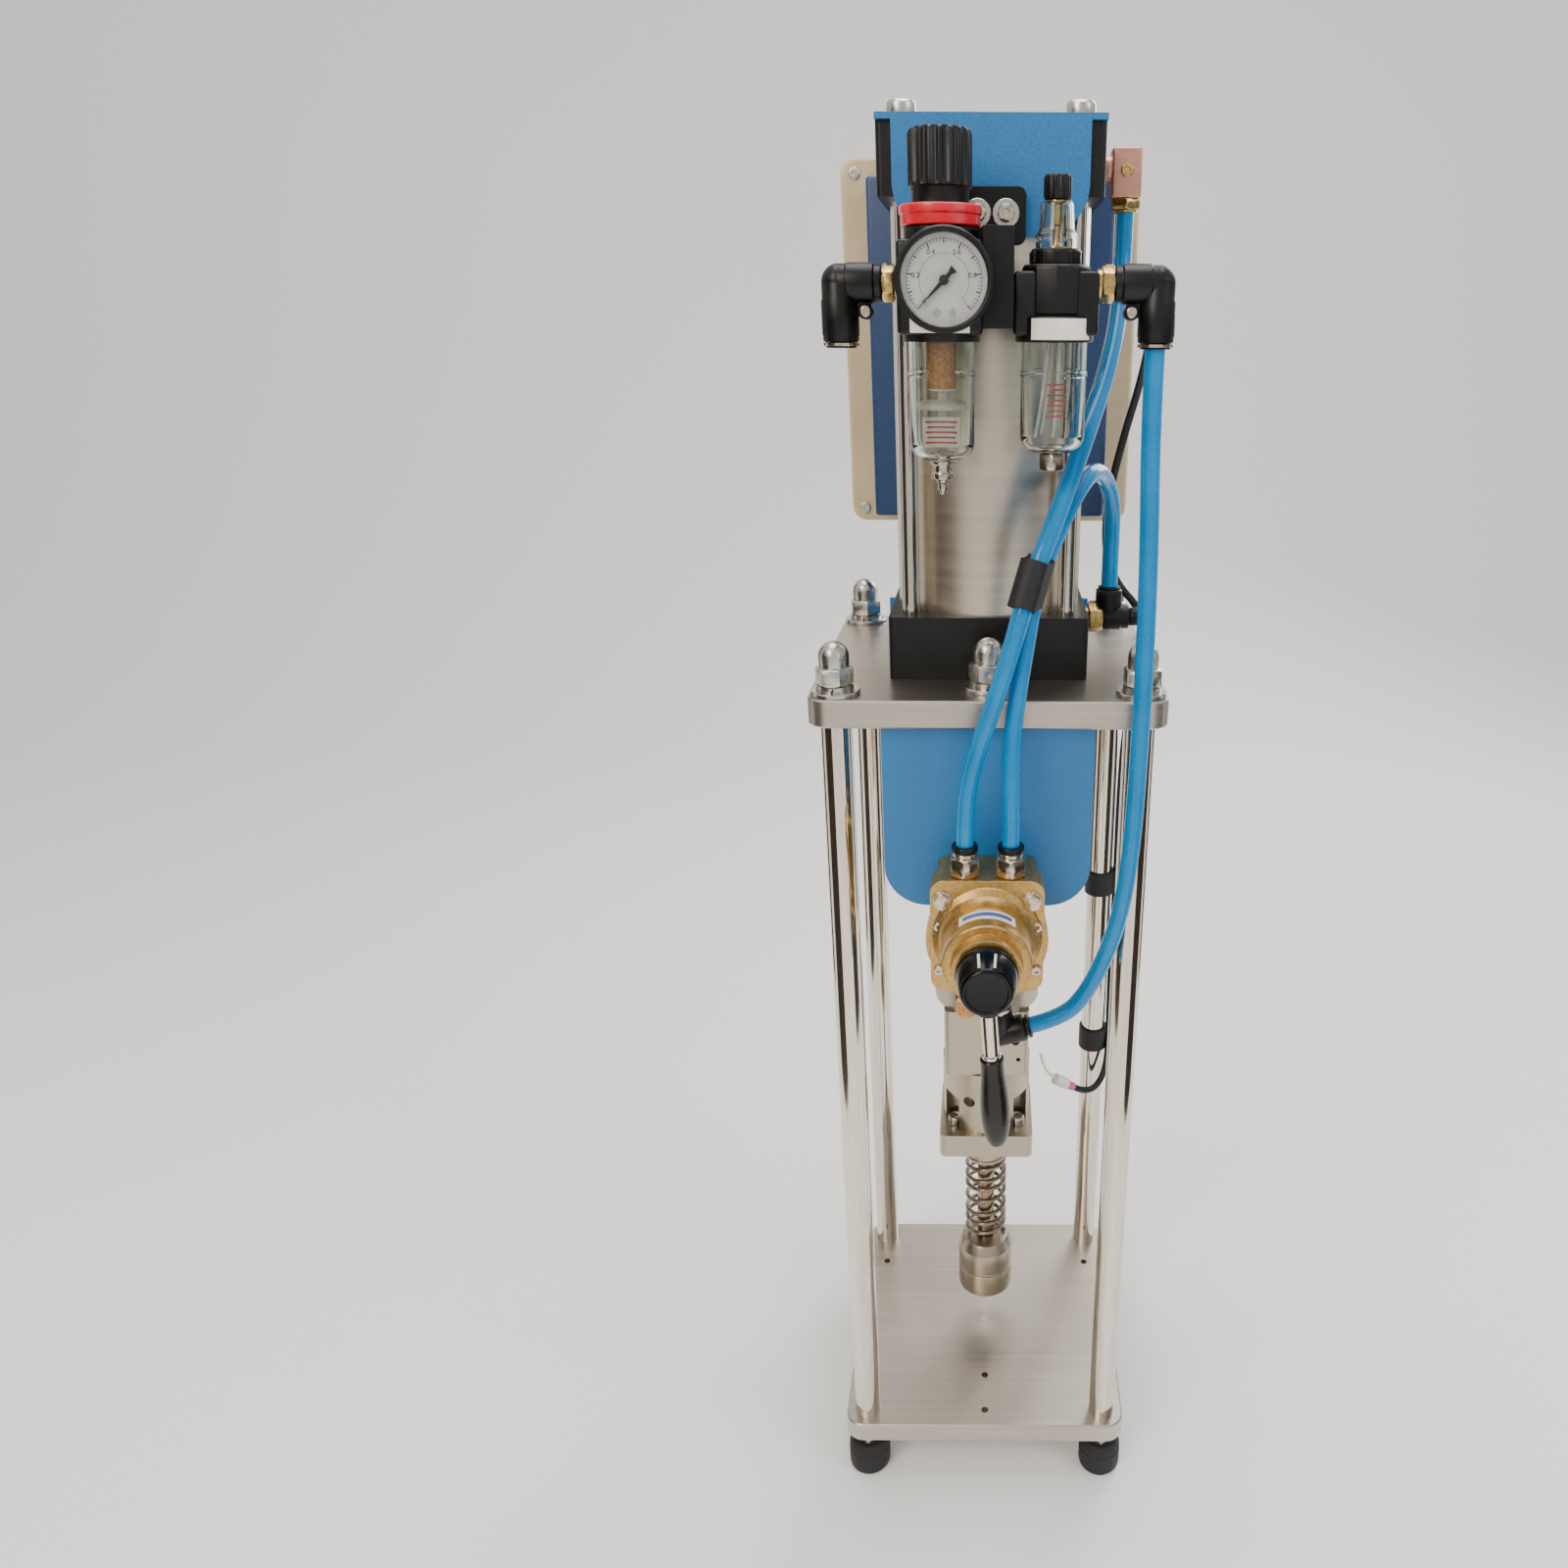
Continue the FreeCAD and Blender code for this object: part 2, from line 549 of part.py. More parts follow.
def valveBracket():
    y0 = VALVE_BRACKET_Y
    low_top = TOP_UNDER - SHEET
    sheet = tab(VALVE_BRACKET_W, TOP_UNDER, VALVE_BRACKET_LOW, 25, y0, y0 + SHEET)
    flange = box(-VALVE_BRACKET_W / 2, VALVE_BRACKET_W / 2, y0, -60, low_top, TOP_UNDER)
    save("valve_bracket", sheet.fuse(flange).cut(post(STUD_HOLE_R, 0, BRACKET_BOLT_Y, low_top, TOP_UNDER)))


def leaned(shape):
    # the lever's middle position is not quite upright
    shape.rotate(V(0, LEVER_Y, VALVE_Z), BACK, -LEVER_LEAN)
    return shape


def handValve():
    shaft_hole = rod(SHAFT_R + RUN, (0, NECK_FRONT, VALVE_Z), (0, VALVE_BRACKET_Y - 8, VALVE_Z))
    body = roundedPanel(VALVE_W - 6, VALVE_TOP - VALVE_LOW - 2, 6, 0, VALVE_Z, BODY_FRONT, VALVE_BRACKET_Y)
    save("valve_body", body.cut(shaft_hole))
    cover = roundedPanel(VALVE_W, VALVE_TOP - VALVE_LOW, 8, 0, VALVE_Z, COVER_FRONT, BODY_FRONT)
    cover = cover.fuse([rod(24, (0, BOSS_FRONT, VALVE_Z), (0, COVER_FRONT, VALVE_Z)),
                        rod(19.5, (0, NECK_FRONT, VALVE_Z), (0, BOSS_FRONT, VALVE_Z)),
                        rod(35, (0, COVER_FRONT + 6, VALVE_Z - 6), (0, BODY_FRONT, VALVE_Z - 6)).common(
                            box(-40, 40, COVER_FRONT, BODY_FRONT, VALVE_LOW, VALVE_TOP))])
    save("valve_cover", cover.cut(shaft_hole))
    hub = cone(13.5, 17, (0, HUB_FRONT, VALVE_Z), (0, HUB_BACK, VALVE_Z)).fuse(
        rod(SHAFT_R, (0, HUB_BACK, VALVE_Z), (0, VALVE_BRACKET_Y - 9, VALVE_Z)))
    save("lever_hub", hub.cut(leaned(post(LEVER_ROD_R, 0, LEVER_Y, VALVE_Z - 20, VALVE_Z - 8))))
    save("lever_rod", leaned(post(LEVER_ROD_R, 0, LEVER_Y, GRIP_TOP - 20, VALVE_Z - 8)))
    grip = cone(6.5, 8.2, (0, LEVER_Y, GRIP_TOP), (0, LEVER_Y, GRIP_TOP - 34)).fuse(
        [cone(8.2, 5, (0, LEVER_Y, GRIP_TOP - 34), (0, LEVER_Y, GRIP_LOW))])
    save("lever_grip", leaned(grip.cut(post(LEVER_ROD_R, 0, LEVER_Y, GRIP_TOP - 20, GRIP_TOP))))


def valveFittings():
    made = []
    for x in TOP_FITTING_X:
        made.append(hexagon(16, (x, FITTING_Y, VALVE_TOP), (x, FITTING_Y, VALVE_TOP + 11)).fuse(
            post(7.5, x, FITTING_Y, VALVE_TOP + 11, FITTING_TOP)))
    stem = post(6.5, 8, FITTING_Y, 345, VALVE_LOW)
    made.append(stem.fuse([Part.makeSphere(8, V(8, FITTING_Y, 345)),
                           rod(8, (8, FITTING_Y, 344.6), (26, FITTING_Y, 350))]))
    made.append(post(6, -12, FITTING_Y, 357, VALVE_LOW))
    save("valve_fittings", *made)


def assemblyScrews():
    y = COVER_FRONT
    made = []
    for x, z in [(-27, 421), (28, 421), (-27, 393), (28, 393)]:
        made.append(rod(3, (x, y - 2, z), (x, y, z)))
    for x in (-25, 25):
        made.append(hexagon(9, (x, y - 4, 437), (x, y, 437)))
    face = -CAP / 2 - SHEET - TEE_FOOT_T
    z = TEE_SCREW_Z
    for x in TEE_SCREW_X:
        bolt = rod(6.6, (x, face - 1.5, z), (x, face, z)).fuse(
            [rod(4.2, (x, face - 5.5, z), (x, face - 1.5, z)), rod(2.5, (x, face, z), (x, face + TEE_FOOT_T, z))])
        made.append(bolt.cut(hexagon(4, (x, face - 5.5, z), (x, face - 3, z))))
    bolt_low = TOP_UNDER - SHEET - 7.5
    made.append(hexagon(NUT_AF, (0, BRACKET_BOLT_Y, bolt_low), (0, BRACKET_BOLT_Y, TOP_UNDER - SHEET)).fuse(
        post(STUD_R, 0, BRACKET_BOLT_Y, TOP_UNDER - SHEET, STUD_END)))
    save("assembly_screws", *made)


# hoses and cable

def hosesAndCable():
    upper = tube("upper_port_hose", UPPER_HOSE, HOSE_R)
    lower = tube("lower_port_hose", LOWER_HOSE, HOSE_R)
    cable = tube("sensor_cable", CABLE, CABLE_R)
    save("upper_port_hose", upper)
    save("lower_port_hose", lower)
    save("supply_hose", tube("supply_hose", SUPPLY_HOSE, HOSE_R))
    save("sensor_cable", cable)
    a, b = V(*CONNECTOR[0]), V(*CONNECTOR[1])
    along = (b - a).normalize()
    plug = Part.makeCylinder(3.4, 11, a, along).fuse(
        Part.makeCylinder(5, a.distanceToPoint(b) - 11, a + along * 11, along))
    save("cable_connector", plug.fuse(tube("connector_lead", LEAD, LEAD_R)))
    wrap = hoseWrap(upper, lower)
    column = post(COLUMN_R, COLUMN_XY, COLUMN_XY, 0, TOP_UNDER)
    ties = []
    for z in (207, 345):
        band = post(COLUMN_R + 2, COLUMN_XY, COLUMN_XY, z - 9, z + 9).fuse(
            [post(CABLE_R + 2, 97, COLUMN_XY, z - 9, z + 9),
             box(COLUMN_XY, 97, COLUMN_XY - 4.5, COLUMN_XY + 4.5, z - 9, z + 9)])
        ties.append(band.cut([column, cable]))
    save("tape_wraps", wrap, *ties)


def hoseWrap(upper, lower):
    # one sleeve round both hoses, 25 mm long, along their common direction
    mid = (V(*UPPER_HOSE[5]) + V(*LOWER_HOSE[6])) * 0.5 + V(-0.5, 0, 1)
    along = (V(*LOWER_HOSE[5]) - V(*LOWER_HOSE[7])).normalize()
    gap = (V(*UPPER_HOSE[5]) - V(*LOWER_HOSE[6])) * 0.5
    sleeves = []
    for sign in (-1, 1):
        start = mid + gap * sign - along * 12.5
        sleeves.append(Part.makeCylinder(HOSE_R + 2.5, 25, start, along))
    wide = along.cross(gap).normalize() * (HOSE_R + 2.5)
    a, b = mid - gap - along * 12.5, mid + gap - along * 12.5
    web = Part.Face(Part.makePolygon([a + wide, b + wide, b - wide, a - wide, a + wide])).extrude(along * 25)
    return sleeves[0].fuse([sleeves[1], web]).cut([upper, lower])


# enclosure behind the cylinder

def enclosure():
    case = roundedPanel(2 * BOX_HALF, BOX_TOP - BOX_LOW, 3, 0, (BOX_TOP + BOX_LOW) / 2, BOX_FRONT, BOX_BACK)
    hollow = box(-BOX_HALF + 2, BOX_HALF - 2, BOX_FRONT + 2, BOX_BACK, BOX_LOW + 2, BOX_TOP - 2)
    gland = rod(6, (BOX_HALF, CABLE[0][1], CABLE[0][2]), CABLE[0])
    save("enclosure_box", case.cut(hollow).fuse(gland))
    save("enclosure_back", roundedPanel(2 * BACK_HALF, BACK_TOP - BACK_LOW, 10, 0, (BACK_TOP + BACK_LOW) / 2,
                                        BOX_BACK, BOX_BACK + BACK_T))
    y = BOX_FRONT - SHEET
    post_sheet = box(-58, 58, y, BOX_FRONT, TOP, 790)
    foot = box(-66, 66, y, BOX_FRONT, TOP, TOP + 22).fuse(box(-66, 66, BOX_FRONT, 95, TOP, TOP + SHEET).cut(
        [post(FLAT_WASHER_R + 1, x, COLUMN_XY, TOP, TOP + SHEET) for x in (-COLUMN_XY, COLUMN_XY)]))
    save("rear_bracket", post_sheet.fuse(foot))


for make in (basePlate, topPlate, columns, nutsAndWashers, feet, cylinder, pistonAndRod, ports, head, flange,
             plunger, setBracket, regulator, filterAndDrain, gauge, teeBracket, lubricator, elbowsAndNipples,
             valveBracket, handValve, valveFittings, assemblyScrews, hosesAndCable, enclosure):
    make()
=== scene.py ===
from math import atan2, cos, hypot, pi, radians, sin, sqrt
import bpy
from mathutils import Euler, Matrix, Vector


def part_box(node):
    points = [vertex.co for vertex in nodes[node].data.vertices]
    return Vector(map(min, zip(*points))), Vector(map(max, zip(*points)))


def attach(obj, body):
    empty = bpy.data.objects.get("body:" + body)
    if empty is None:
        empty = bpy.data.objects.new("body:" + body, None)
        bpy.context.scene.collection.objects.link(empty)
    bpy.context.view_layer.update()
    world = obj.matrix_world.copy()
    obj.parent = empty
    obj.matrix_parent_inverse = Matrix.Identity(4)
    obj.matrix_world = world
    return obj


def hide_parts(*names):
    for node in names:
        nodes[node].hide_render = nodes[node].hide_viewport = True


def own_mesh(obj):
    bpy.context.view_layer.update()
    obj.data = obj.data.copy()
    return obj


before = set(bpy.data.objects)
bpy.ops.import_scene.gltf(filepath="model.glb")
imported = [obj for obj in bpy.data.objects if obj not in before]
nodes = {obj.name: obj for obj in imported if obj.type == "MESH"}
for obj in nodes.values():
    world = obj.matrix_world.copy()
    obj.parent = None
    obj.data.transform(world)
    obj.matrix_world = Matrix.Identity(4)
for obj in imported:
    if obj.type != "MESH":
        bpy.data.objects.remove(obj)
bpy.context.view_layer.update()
mm = 0.001
print("frame loaded:", len(nodes), "nodes")


# ---- camera, floor and light

camera = {"at": (0, -0.691, 0.730), "pitchDown": 21.6, "roll": 0.29, "lens": 26.14, "shift": -0.13}


def setCamera(spec):
    data = bpy.data.cameras.new("camera")
    data.lens = spec["lens"]
    data.shift_x = spec["shift"]
    data.clip_start = 0.02
    view = bpy.data.objects.new("camera", data)
    bpy.context.scene.collection.objects.link(view)
    tilt = Euler((radians(90 - spec["pitchDown"]), 0, 0)).to_matrix()
    view.rotation_euler = (tilt @ Matrix.Rotation(radians(spec["roll"]), 3, "Z")).to_euler()
    view.location = spec["at"]
    bpy.context.scene.camera = view


def linear(colour):
    # sRGB hex to the linear values that sockets take
    parts = [int(colour[i:i + 2], 16) / 255 for i in (1, 3, 5)]
    return [c / 12.92 if c <= 0.04045 else ((c + 0.055) / 1.055) ** 2.4 for c in parts] + [1.0]


def addNode(tree, kind, settings=None, links=None):
    made = tree.nodes.new(kind)
    for key, value in (settings or {}).items():
        if isinstance(key, str) and hasattr(made, key):
            setattr(made, key, value)
        else:
            made.inputs[key].default_value = value
    for key, source in (links or {}).items():
        tree.links.new(source, made.inputs[key])
    return made


setCamera(camera)
print("camera set")


# ---- helpers for modelling

def enter():
    bpy.ops.object.mode_set(mode="EDIT")


def leave():
    bpy.ops.object.mode_set(mode="OBJECT")


def begin():
    if bpy.context.object and bpy.context.object.mode == "EDIT":
        leave()
    bpy.ops.object.select_all(action="DESELECT")


def focus(obj):
    begin()
    obj.select_set(True)
    bpy.context.view_layer.objects.active = obj


def settle(obj):
    # writes the object's place and turn into its mesh
    focus(obj)
    bpy.ops.object.transform_apply(location=True, rotation=True, scale=True)
    obj.rotation_mode = "XYZ"
    return obj


def useModifier(obj, kind, settings):
    focus(obj)
    made = obj.modifiers.new(kind.lower(), kind)
    for key, value in settings.items():
        setattr(made, key, value)
    bpy.ops.object.modifier_apply(modifier=made.name)
    return obj


def soften(obj, bevel=0.4, segments=2, angle=34):
    if bevel:
        useModifier(obj, "BEVEL", {"width": bevel * mm, "segments": segments, "limit_method": "ANGLE",
            "angle_limit": radians(28), "use_clamp_overlap": True})
    focus(obj)
    bpy.ops.object.shade_smooth_by_angle(angle=radians(angle))
    return obj


def aim(obj, at, along):
    obj.rotation_mode = "QUATERNION"
    if Vector(along).normalized().z < 0.9999:
        obj.rotation_quaternion = Vector(along).to_track_quat("Z", "Y")
    obj.location = Vector(at)
    return settle(obj)


def turned(name, profile, at=(0, 0, 0), along=(0, 0, 1), sides=64, bevel=0.3, ring=False):
    # a turned piece: rings of (radius, height) in mm, one extrude and one resize for each
    begin()
    last, low = profile[0]
    fill = "NOTHING" if ring else "NGON"
    bpy.ops.mesh.primitive_circle_add(vertices=sides, radius=last * mm, fill_type=fill)
    obj = bpy.context.object
    obj.name = name
    enter()
    bpy.ops.mesh.select_mode(type="VERT")
    bpy.ops.mesh.select_all(action="SELECT")
    height = low
    for radius, level in profile[1:]:
        radius = max(radius, 0.02)
        bpy.ops.mesh.extrude_region_move(TRANSFORM_OT_translate={"value": (0, 0, (level - height) * mm)})
        ratio = radius / last
        bpy.ops.transform.resize(value=(ratio, ratio, 1), center_override=(0, 0, (level - low) * mm))
        last, height = radius, level
    bpy.ops.mesh.select_all(action="SELECT")
    bpy.ops.mesh.remove_doubles(threshold=1e-6)
    bpy.ops.mesh.normals_make_consistent(inside=False)
    leave()
    direction = Vector(along).normalized()
    aim(obj, Vector([c * mm for c in at]) + direction * low * mm, direction)
    return soften(obj, bevel)


def block(name, low, high, bevel=1.0, segments=3):
    begin()
    middle = [(a + b) / 2 * mm for a, b in zip(low, high)]
    bpy.ops.mesh.primitive_cube_add(size=1, location=middle, scale=[(b - a) * mm for a, b in zip(low, high)])
    obj = settle(bpy.context.object)
    obj.name = name
    return soften(obj, bevel, segments)


def pick(obj, kind, test):
    # enters edit mode with the vertices, edges or faces whose middle passes the test selected
    focus(obj)
    enter()
    bpy.ops.mesh.select_mode(type=kind)
    bpy.ops.mesh.select_all(action="DESELECT")
    leave()
    points = obj.data.vertices
    if kind == "VERT":
        for item in points:
            item.select = test(item.co)
    elif kind == "EDGE":
        for item in obj.data.edges:
            item.select = test((points[item.vertices[0]].co + points[item.vertices[1]].co) / 2)
    else:
        for item in obj.data.polygons:
            item.select = test(item.center, item.normal)
    enter()


def carve(obj, cutter):
    useModifier(obj, "BOOLEAN", {"operation": "DIFFERENCE", "object": cutter, "solver": "EXACT"})
    bpy.data.objects.remove(cutter)
    return obj


def join(name, pieces):
    begin()
    for piece in pieces:
        piece.select_set(True)
    bpy.context.view_layer.objects.active = pieces[0]
    bpy.ops.object.join()
    pieces[0].name = name
    return pieces[0]


def copies(obj, offsets):
    # further copies of a piece, each with its own mesh, moved by the offsets in mm
    made = [obj]
    for offset in offsets:
        focus(obj)
        bpy.ops.object.duplicate(linked=False)
        twin = bpy.context.object
        twin.location = Vector(offset) * mm
        made.append(settle(twin))
    return made


def cornerOffsets(reach):
    # from the first corner, back left, to the other three of a square
    return [(2 * reach, 0, 0), (0, -2 * reach, 0), (2 * reach, -2 * reach, 0)]


def dress(obj, material, *replaced, body="frame", slot=None):
    obj.data.materials.clear()
    obj.data.materials.append(material)
    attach(obj, body)
    if replaced:
        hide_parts(*replaced)
    return obj


def firstOnly(index, node):
    # the first of several like pieces stands for their CAD node
    return [node] if index == 0 else []


def highOf(node):
    return [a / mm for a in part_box(node)[1]]


# ---- materials

def newSurface(name):
    made = bpy.data.materials.new(name)
    made.use_nodes = True
    tree = made.node_tree
    shader = tree.nodes["Principled BSDF"]
    place = addNode(tree, "ShaderNodeTexCoord").outputs["Object"]
    return made, tree, shader, place


def coat(name, colours, grain, rough, metal=0.0, bump=0.1, stretch=(1, 1, 1), extras=None, patch=9.0):
    # colours are the dark and light ends of a slow patchiness, grain is the size of the fine texture in mm
    made, tree, shader, place = newSurface(name)
    scaled = addNode(tree, "ShaderNodeMapping", {"Scale": stretch}, {"Vector": place}).outputs[0]
    fine = addNode(tree, "ShaderNodeTexNoise", {"Scale": 1 / (grain * mm), "Detail": 3.0, "Roughness": 0.6},
        {"Vector": scaled}).outputs["Fac"]
    slow = addNode(tree, "ShaderNodeTexNoise", {"Scale": 1 / (patch * mm), "Detail": 2.0},
        {"Vector": scaled}).outputs["Fac"]
    blend = addNode(tree, "ShaderNodeMath", {"operation": "MULTIPLY_ADD", 1: 0.5, 2: 0.0}, {0: fine}).outputs[0]
    blend = addNode(tree, "ShaderNodeMath", {"operation": "MULTIPLY_ADD", 1: 0.5},
        {0: slow, 2: blend}).outputs[0]
    ramp = addNode(tree, "ShaderNodeMapRange", {"From Min": 0.36, "From Max": 0.64},
        {"Value": blend}).outputs[0]
    mix = addNode(tree, "ShaderNodeMix", {"data_type": "RGBA", 6: linear(colours[0]), 7: linear(colours[1])},
        {0: ramp})
    tree.links.new(mix.outputs[2], shader.inputs["Base Color"])
    spread = addNode(tree, "ShaderNodeMapRange", {"From Min": 0.3, "From Max": 0.7, "To Min": rough[0],
        "To Max": rough[1]}, {"Value": blend}).outputs[0]
    tree.links.new(spread, shader.inputs["Roughness"])
    relief = addNode(tree, "ShaderNodeBump", {"Strength": bump, "Distance": 0.0002},
        {"Height": fine}).outputs[0]
    tree.links.new(relief, shader.inputs["Normal"])
    shader.inputs["Metallic"].default_value = metal
    for key, value in (extras or {}).items():
        shader.inputs[key].default_value = value
    return made


# milled aluminium tooling plate: fine lines across, warm grey
milledPlate = coat("milledPlate", ("#bdb4a8", "#cac2b7"), 0.22, (0.30, 0.40), metal=1.0, bump=0.04,
    stretch=(0.02, 1, 1), extras={"Anisotropic": 0.4}, patch=3.0)
# hard-chromed ground bar: mirror bright with faint long streaks
chromeBar = coat("chromeBar", ("#cdc3b4", "#ebe4d8"), 0.8, (0.06, 0.13), metal=1.0, bump=0.03,
    stretch=(1, 1, 0.03))
# zinc-plated steel fasteners: soft bluish shine, slightly patchy
zincSteel = coat("zincSteel", ("#bfbcb4", "#d8d5ce"), 0.4, (0.20, 0.34), metal=1.0, bump=0.06, patch=4.0)
# oil-hardened spring wire and the burnished rod inside it: brown-grey
springSteel = coat("springSteel", ("#7d7267", "#a3978a"), 0.5, (0.16, 0.28), metal=1.0, bump=0.05, patch=6.0)
burnishedRod = coat("burnishedRod", ("#8a7460", "#b39a80"), 0.6, (0.14, 0.26), metal=1.0, bump=0.04,
    stretch=(1, 1, 0.1), patch=8.0)
# cold-drawn aluminium tube, linished round: fine rings
drawnTube = coat("drawnTube", ("#d8cbb9", "#e4d8c7"), 0.25, (0.28, 0.36), metal=1.0, bump=0.04,
    stretch=(0.02, 0.02, 1), extras={"Anisotropic": 0.5}, patch=3.0)
# milled aluminium blocks: satin, small tool marks
milledBlock = coat("milledBlock", ("#aca290", "#b3a996"), 0.3, (0.28, 0.32), metal=1.0, bump=0.02,
    stretch=(0.3, 0.3, 1), patch=3.0)
# black anodised aluminium: deep black with a silky gloss
blackAnodised = coat("blackAnodised", ("#060607", "#0f0f10"), 0.3, (0.34, 0.46), metal=0.25, bump=0.12,
    patch=5.0)
# blue powder coat on sheet steel: orange peel and a fine sparkle
powderCoat = coat("powderCoat", ("#0f619b", "#1b79b6"), 0.35, (0.36, 0.50), bump=0.35,
    extras={"Coat Weight": 0.2, "Coat Roughness": 0.3}, patch=0.9)
# the same blue coat on the cabinet, darkened to navy: painted shade, the colour of the box's shadowed side
# given to all of it
shadedBlueCoat = coat("shadedBlueCoat", ("#0a2c55", "#103e70"), 0.4, (0.36, 0.50), bump=0.3,
    extras={"Coat Weight": 0.2, "Coat Roughness": 0.3}, patch=1.2)
# cream stove enamel on the cabinet back
creamPaint = coat("creamPaint", ("#bfa983", "#d0bb96"), 0.7, (0.30, 0.42), bump=0.15,
    extras={"Coat Weight": 0.2}, patch=30.0)
# gold passivated die casting: fine sand skin
goldCasting = coat("goldCasting", ("#b48d4d", "#d6b272"), 0.5, (0.26, 0.40), metal=0.9, bump=0.25, patch=2.0)
# machined brass
machinedBrass = coat("machinedBrass", ("#b5924e", "#e0c688"), 0.4, (0.16, 0.30), metal=1.0, bump=0.06,
    patch=2.0)
# nickel-plated brass fittings: warm mirror
nickelPlate = coat("nickelPlate", ("#b9aa92", "#e6dccb"), 0.5, (0.10, 0.22), metal=1.0, bump=0.05, patch=2.0)
# copper-coloured banjo block
copperBlock = coat("copperBlock", ("#c98f7c", "#dca38f"), 0.5, (0.28, 0.42), metal=0.75, patch=3.0)
# glass-filled nylon mouldings: near black, slight moulding texture
blackNylon = coat("blackNylon", ("#070708", "#111011"), 0.35, (0.28, 0.42), bump=0.18,
    extras={"Specular IOR Level": 0.35}, patch=4.0)
# polished phenolic grip and hub: black with a sharp gloss
glossPhenolic = coat("glossPhenolic", ("#040405", "#0a090a"), 0.8, (0.14, 0.24), bump=0.04,
    extras={"Specular IOR Level": 0.3}, patch=6.0)
# the grip has worn to a dark brown sheen
wornGrip = coat("wornGrip", ("#0b0807", "#1d1411"), 0.7, (0.20, 0.34), bump=0.06,
    extras={"Specular IOR Level": 0.4})
# vulcanised rubber: dull with a dusty bloom
feetRubber = coat("feetRubber", ("#0c0c0d", "#1d1c1d"), 0.5, (0.55, 0.78), bump=0.30, patch=4.0)
# cloth adhesive tape: ribbed weave across the wrap
clothTape = coat("clothTape", ("#070708", "#191819"), 0.4, (0.50, 0.70), bump=0.45, stretch=(1, 1, 0.35),
    patch=3.0)
# polyurethane air hose: saturated sky blue, wet-looking
hoseSkin = coat("hoseSkin", ("#0070a8", "#0081bd"), 1.2, (0.12, 0.20), bump=0.04,
    extras={"Coat Weight": 0.25, "Coat Roughness": 0.06, "Specular IOR Level": 0.3}, patch=25.0)
# cable jacket, black PVC
cableSkin = coat("cableSkin", ("#0a0a0b", "#171618"), 0.6, (0.34, 0.48), bump=0.12)
# red acetal lock ring
redAcetal = coat("redAcetal", ("#c8001c", "#e5102c"), 0.6, (0.24, 0.34), bump=0.06, extras={"Coat Weight": 0.3},
    patch=8.0)
# white nylon connector and printed card of the dial
whiteNylon = coat("whiteNylon", ("#d9d2c2", "#f1ece0"), 0.5, (0.36, 0.48), bump=0.12,
    extras={"Subsurface Weight": 0.1}, patch=5.0)
dialCard = coat("dialCard", ("#dcd9d4", "#f2f0ec"), 0.5, (0.45, 0.6), bump=0.05, patch=12.0)
labelPaper = coat("labelPaper", ("#dcd6ca", "#f1ece2"), 0.4, (0.4, 0.55), bump=0.06, patch=6.0)
blueInk = coat("blueInk", ("#2f4f8e", "#5674ac"), 0.4, (0.4, 0.5), bump=0.04)
# sintered bronze filter element: orange grains
sinteredBronze = coat("sinteredBronze", ("#a8652a", "#e2a866"), 0.7, (0.5, 0.7), metal=0.25, bump=0.6,
    patch=1.5)
printInk = coat("printInk", ("#151515", "#262626"), 0.4, (0.4, 0.5), bump=0.02)
redInk = coat("redInk", ("#b8352c", "#cf5a48"), 0.4, (0.4, 0.5), bump=0.03)
pinkSleeve = coat("pinkSleeve", ("#b83a7c", "#d8659c"), 0.5, (0.3, 0.45), bump=0.08)


def clearMoulding(name, tint, rough, ior):
    made, tree, shader, place = newSurface(name)
    ripple = addNode(tree, "ShaderNodeTexNoise", {"Scale": 120.0, "Detail": 2.0},
        {"Vector": place}).outputs["Fac"]
    relief = addNode(tree, "ShaderNodeBump", {"Strength": 0.08, "Distance": 0.0004},
        {"Height": ripple}).outputs[0]
    spread = addNode(tree, "ShaderNodeMapRange", {"To Min": rough[0], "To Max": rough[1]},
        {"Value": ripple}).outputs[0]
    tree.links.new(relief, shader.inputs["Normal"])
    tree.links.new(spread, shader.inputs["Roughness"])
    shader.inputs["Base Color"].default_value = linear(tint)
    shader.inputs["Transmission Weight"].default_value = 1.0
    shader.inputs["IOR"].default_value = ior
    return made


# moulded polycarbonate bowls and the gauge's acrylic window
clearBowl = clearMoulding("clearBowl", "#e9eeea", (0.02, 0.08), 1.42)
clearWindow = clearMoulding("clearWindow", "#f8fafa", (0.01, 0.03), 1.2)

cadFinish = {
    "base_plate": milledPlate, "top_plate": milledPlate, "columns": chromeBar, "tie_rods": chromeBar,
    "lower_cap": blackAnodised, "upper_cap": blackAnodised, "barrel": drawnTube, "rod_bush": machinedBrass,
    "piston": milledBlock, "piston_rod": chromeBar, "piston_seals": feetRubber, "plunger_rod": burnishedRod,
    "gauge_dial": dialCard, "gauge_lens": clearWindow, "gauge_needle": printInk,
    "lever_rod": chromeBar,
}
for nodeName, material in cadFinish.items():
    nodes[nodeName].data.materials.clear()
    nodes[nodeName].data.materials.append(material)
print("materials made")


# ---- hoses and cable

